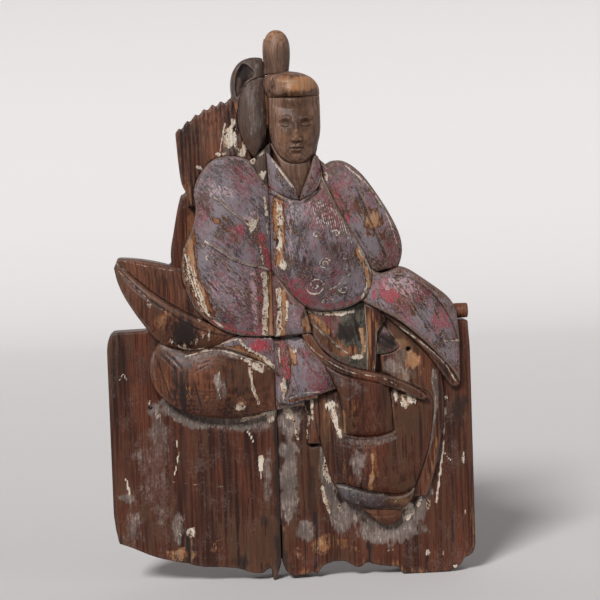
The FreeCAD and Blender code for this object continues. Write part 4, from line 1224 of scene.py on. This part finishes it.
class MakeKnee(bpy.types.Operator):
    """Carves the folded knee, the skirt's lining above it and the front panel"""
    bl_idname = "carving.knee"
    bl_label = "Knee"

    def execute(self, context):
        knee = carve("folded_knee")
        knee.edges(4.0)
        knee.work(
            dishes=[(23, 61, 22, 30, -2, 20)],
            bare=[(31, 34, 5, 13, 0.9), (45, 27, 6, 13, 0.7), (13, 49, 5, 16, 0.5)],
            ochre=[(70, 21, 8, 8, 0.5)],
            gesso=[(87, 63, 11, 6, 1, -24), (77, 74, 6, 3.5, 0.8, -30), (71, 17, 6, 7, 0.95, -20)],
            gesso_lines=[(2.4, 0.9, 79, 68, 81, 42, 85, 20)],
            # The two narrow pale streaks in the middle are painted highlights, laid as pale scraped wood;
            pale=[(53, 45, 4, 15, 0.9), (58, 39, 2.4, 13, 0.9)],
            # the pale band along the top is pale grain with a painted highlight on the top edge.
            pale_lines=[(5, 0.7, 13, 94, 33, 81, 53, 87, 73, 80), (3, 0.6, 3, 87, 2, 72, 4, 54)],
            line_lines=[(0.9, 0.6, 55, 64, 53, 44, 55, 29), (1.2, 0.6, 29, 83, 52, 89, 73, 80, 98, 63)],
            grime_lines=[(5, 0.9, 25, 63, 25, 38, 26, 15), (9, 0.4, 66, 58, 68, 38, 63, 21),
                         (8, 0.45, 89, 44, 92, 27, 85, 10)])
        rings = ([(0.07, 0.89), (0.15, 0.76), (0.21, 0.61), (0.20, 0.36), (0.16, 0.23)],
                 [(0.05, 0.85), (0.09, 0.66), (0.13, 0.46), (0.17, 0.26)],
                 [(0.11, 0.90), (0.22, 0.74), (0.28, 0.58), (0.24, 0.31)],
                 [(0.38, 0.66), (0.34, 0.59), (0.37, 0.37), (0.40, 0.16)])
        for ring in rings:
            knee.groove(ring, 1.8, 0.4)
            knee.streak("grime", ring, 1.5, 0.65)
        for step in range(5):
            knee.groove([(0.20 + step * 0.05, 0.96 - step * 0.05), (0.38, 0.90 - step * 0.06),
                         (0.60 - step * 0.03, 0.93 - step * 0.05)], 1.2, 0.25)
        knee.done()
        skirt = carve("inner_skirt")
        skirt.edges(2.0)
        skirt.work(
            bare_lines=[(3, 0.8, 38, 71, 67, 44, 95, 18)],
            ochre_lines=[(1.6, 0.8, 22, 72, 60, 52, 89, 23)],
            gesso_lines=[(2.6, 0.8, 42, 88, 54, 68), (3.6, 0.9, 60, 62, 80, 41, 97, 17)],
            crimson=[(72, 69, 19, 8)],
            crimson_lines=[(3, 1, 6, 78, 25, 92, 52, 98)],
            line_lines=[(1, 0.7, 15, 82, 55, 95, 94, 88)],
            # The dark band along the top is painted shadow under the block above it.
            grime_lines=[(3, 1, 3, 108, 45, 98, 100, 90)])
        skirt.done("purple_paint", "crimson_paint")
        panel = carve("front_panel")
        panel.edges(2.4)
        panel.work(
            grooves=[(2.5, 0.8, 37, 86, 52, 61, 78, 37)],
            folds=[(1.4, 6, 20, 91, 26, 65, 22, 33, 15, 15)],
            bare_lines=[(1.6, 0.6, 23, 12, 49, 16, 70, 19)],
            ochre=[(28, 73, 5, 10, 0.9)],
            gesso=[(30, 79, 4, 6, 0.8), (12, 28, 4.5, 12, 0.95)],
            gesso_lines=[(1.8, 0.8, 6, 81, 7, 63)],
            crimson=[(46, 77, 8, 8, 0.4)],
            crimson_lines=[(5, 1, 10, 94, 14, 73, 18, 44)],
            line_lines=[(0.9, 0.5, 20, 15, 45, 22, 71, 23)],
            grime=[(16, 39, 3, 5, 0.8)],
            # The second dark line, along the top, is painted shadow under the block above it.
            grime_lines=[(1.8, 0.8, 6, 8, 26, 7, 47, 12), (3, 1, 0, 94, 27, 94, 54, 97)])
        panel.done()
        return {"FINISHED"}


class MakeLeg(bpy.types.Operator):
    """Carves the thigh, the long skirt over the shin and the hip behind"""
    bl_idname = "carving.leg"
    bl_label = "Leg"

    def execute(self, context):
        thigh = carve("thigh_panel")
        thigh.edges(2.6)
        thigh.work(
            grooves=[(1, 0.9, 26, 61, 34, 53, 49, 66), (5, -0.8, 4, 18, 31, 10, 70, 8, 99, 15)],
            folds=[(1.4, 8, -32, 112, -7, 93, 12, 72, 20, 43)],
            bare=[(39, 29, 9, 22, 0.55), (74, 21, 8, 18, 0.4)],
            ochre_lines=[(3, 0.8, 26, 35, 27, 16, 28, 5)],
            pale=[(34, 71, 20, 6, 0.4, -15)],
            line_lines=[(1, 0.6, -32, 112, -7, 93, 12, 69), (1, 0.6, 97, 61, 101, 39, 100, 10)],
            grime=[(85, 46, 10, 16, 0.4)],
            grime_lines=[(3, 0.6, 56, 58, 56, 28, 57, 6)])
        thigh.done("boards")
        shin = carve("shin_skirt")
        shin.edges(3.0)
        shin.work(
            grooves=[(1.2, 1, 25, 60, 30, 43, 33, 21, 34, 1), (1, 0.6, 29, 54, 34, 47, 41, 52),
                     (3.5, 1, 13, 51, 35, 47, 56, 50), (5, -0.8, 69, 69, 73, 41, 70, 9)],
            bare=[(47, 24, 5, 26, 0.6), (22, 22, 6, 16, 0.6), (69, 42, 14, 40, 0.3)],
            bare_lines=[(5, 1, 7, 86, 7, 71, 8, 53)],
            ochre_lines=[(3, 0.7, 45, 38, 44, 20, 42, 5)],
            gesso=[(10, 85, 8, 6, 0.8), (79, 87, 11, 8, 0.95, -10), (66, 92, 4, 9, 0.8)],
            gesso_lines=[(3, 1, 13, 80, 15, 67, 18, 56)],
            pale=[(32, 32, 8, 22, 0.8)],
            pale_lines=[(7, 0.7, 11, 85, 15, 66, 19, 56), (5, 0.55, 18, 53, 40, 50, 65, 54)],
            grime_lines=[(2, 0.9, 34, 47, 36, 29, 35, 7), (1.4, 0.7, 27, 43, 29, 30, 27, 16),
                         (1.4, 0.7, 42, 43, 41, 25, 39, 7), (7, 0.5, 9, 53, 14, 33, 20, 16),
                         # The last line, across the middle, is painted shadow under the block above it.
                         (2.2, 1, 18, 55, 41, 53, 65, 55)])
        shin.done("boards")
        hip = carve("hip_panel")
        hip.edges(2.4)
        hip.work(
            grooves=[(2.4, 1.2, 59, 73, 67, 58, 72, 43, 67, 29), (2, 0.8, 38, 73, 49, 63, 57, 54)],
            bare=[(53, 73, 14, 18, 0.8)],
            bare_lines=[(2.6, 0.9, 86, 32, 79, 21, 72, 10)],
            ochre=[(49, 76, 10, 10, 0.9, -20), (33, 85, 10, 6, 0.6), (30, 60, 12, 20, 0.6)],
            pale=[(34, 70, 16, 26, 0.5), (19, 73, 10, 8, 0.6)],
            pale_lines=[(4, 0.7, 84, 69, 86, 54, 78, 37, 70, 24)],
            line_lines=[(1, 0.4, 15, 93, 32, 84, 60, 75, 77, 65)],
            grime=[(6, 70, 9, 9, 0.7)])
        hip.done()
        return {"FINISHED"}


class MakeFoot(bpy.types.Operator):
    """Carves the hem's painted band and the shoe"""
    bl_idname = "carving.foot"
    bl_label = "Hem and shoe"

    def execute(self, context):
        hem = carve("hem_band", SMALL_CELL)
        hem.edges(2.4)
        hem.work(
            bare=[(81, 36, 14, 8, 0.9)],
            ochre=[(76, 29, 14, 7, 0.5)],
            crimson=[(44, 32, 16, 6, 0.4)],
            line_lines=[(1.1, 0.9, -1, 95, 19, 82, 46, 61, 71, 59, 96, 71),
                        (1.1, 0.9, -1, 44, 21, 13, 51, 3, 80, 0),
                        (0.8, 0.55, 22, 57, 26, 31, 33, 52, 39, 26, 46, 47, 53, 21, 61, 45, 68, 19, 76, 40)])
        hem.lay("grime", 0.80 - 0.35 * ease((hem.u - 0.5) * 3))
        hem.done()
        shoe = carve("shoe", SMALL_CELL)
        shoe.edges(3.0)
        shoe.work(
            dishes=[(63, 35, 16, 8, -1.2)],
            grooves=[(1.2, 0.9, 12, 64, 50, 48, 89, 54)])
        shoe.done()
        return {"FINISHED"}


class MakeBarStub(bpy.types.Operator):
    """Works the broken end of the bar beside the right sleeve"""
    bl_idname = "carving.bar_stub"
    bl_label = "Bar stub"

    def execute(self, context):
        stub = carve("bar_stub", SMALL_CELL, ground=4.0)
        stub.done()
        return {"FINISHED"}


class FinishFixings(bpy.types.Operator):
    """Gives the pegs and dowels their bamboo and the staples their iron"""
    bl_idname = "carving.fixings"
    bl_label = "Pegs, dowels and staples"

    def execute(self, context):
        for node, slot in (("block_pegs", "bamboo"), ("seam_dowels", "bamboo"), ("back_staples", "iron")):
            part = frame["nodes"][node]
            if not part.material_slots:
                raise RuntimeError(node + " has no material slot to fill")
            for place in part.material_slots:
                place.link = "OBJECT"
                place.material = finish_for(slot)
        return {"FINISHED"}


class CarvingPanel(bpy.types.Panel):
    """Lists the pieces of the panel"""
    bl_idname = "VIEW3D_PT_carving"
    bl_label = "Carved guardian panel"
    bl_space_type = "VIEW_3D"
    bl_region_type = "UI"
    bl_category = "Carving"

    def draw(self, context):
        for group in (context.scene.carving_sizes, context.scene.carving_colours):
            box = self.layout.box()
            for name in group.__annotations__:
                box.prop(group, name)
        for step in STEPS:
            self.layout.operator(step.bl_idname)


STEPS = (MakeStage, MakeBoards, MakeHead, MakeCap, MakeCollars, MakeTorso, MakeLeftSleeve,
         MakeRightSleeve, MakeArrows, MakeFlaps, MakeSash, MakeSword, MakeKnee, MakeLeg,
         MakeFoot, MakeBarStub, FinishFixings)
CLASSES = (CarvingSizes, CarvingColours, *STEPS, CarvingPanel)


def register():
    for each in CLASSES:
        bpy.utils.register_class(each)
    bpy.types.Scene.carving_sizes = PointerProperty(type=CarvingSizes)
    bpy.types.Scene.carving_colours = PointerProperty(type=CarvingColours)


def unregister():
    del bpy.types.Scene.carving_colours
    del bpy.types.Scene.carving_sizes
    for each in reversed(CLASSES):
        bpy.utils.unregister_class(each)


def main():
    register()
    for step in STEPS:
        getattr(bpy.ops.carving, step.bl_idname.split(".")[1])()


if __name__ == "__main__":
    main()
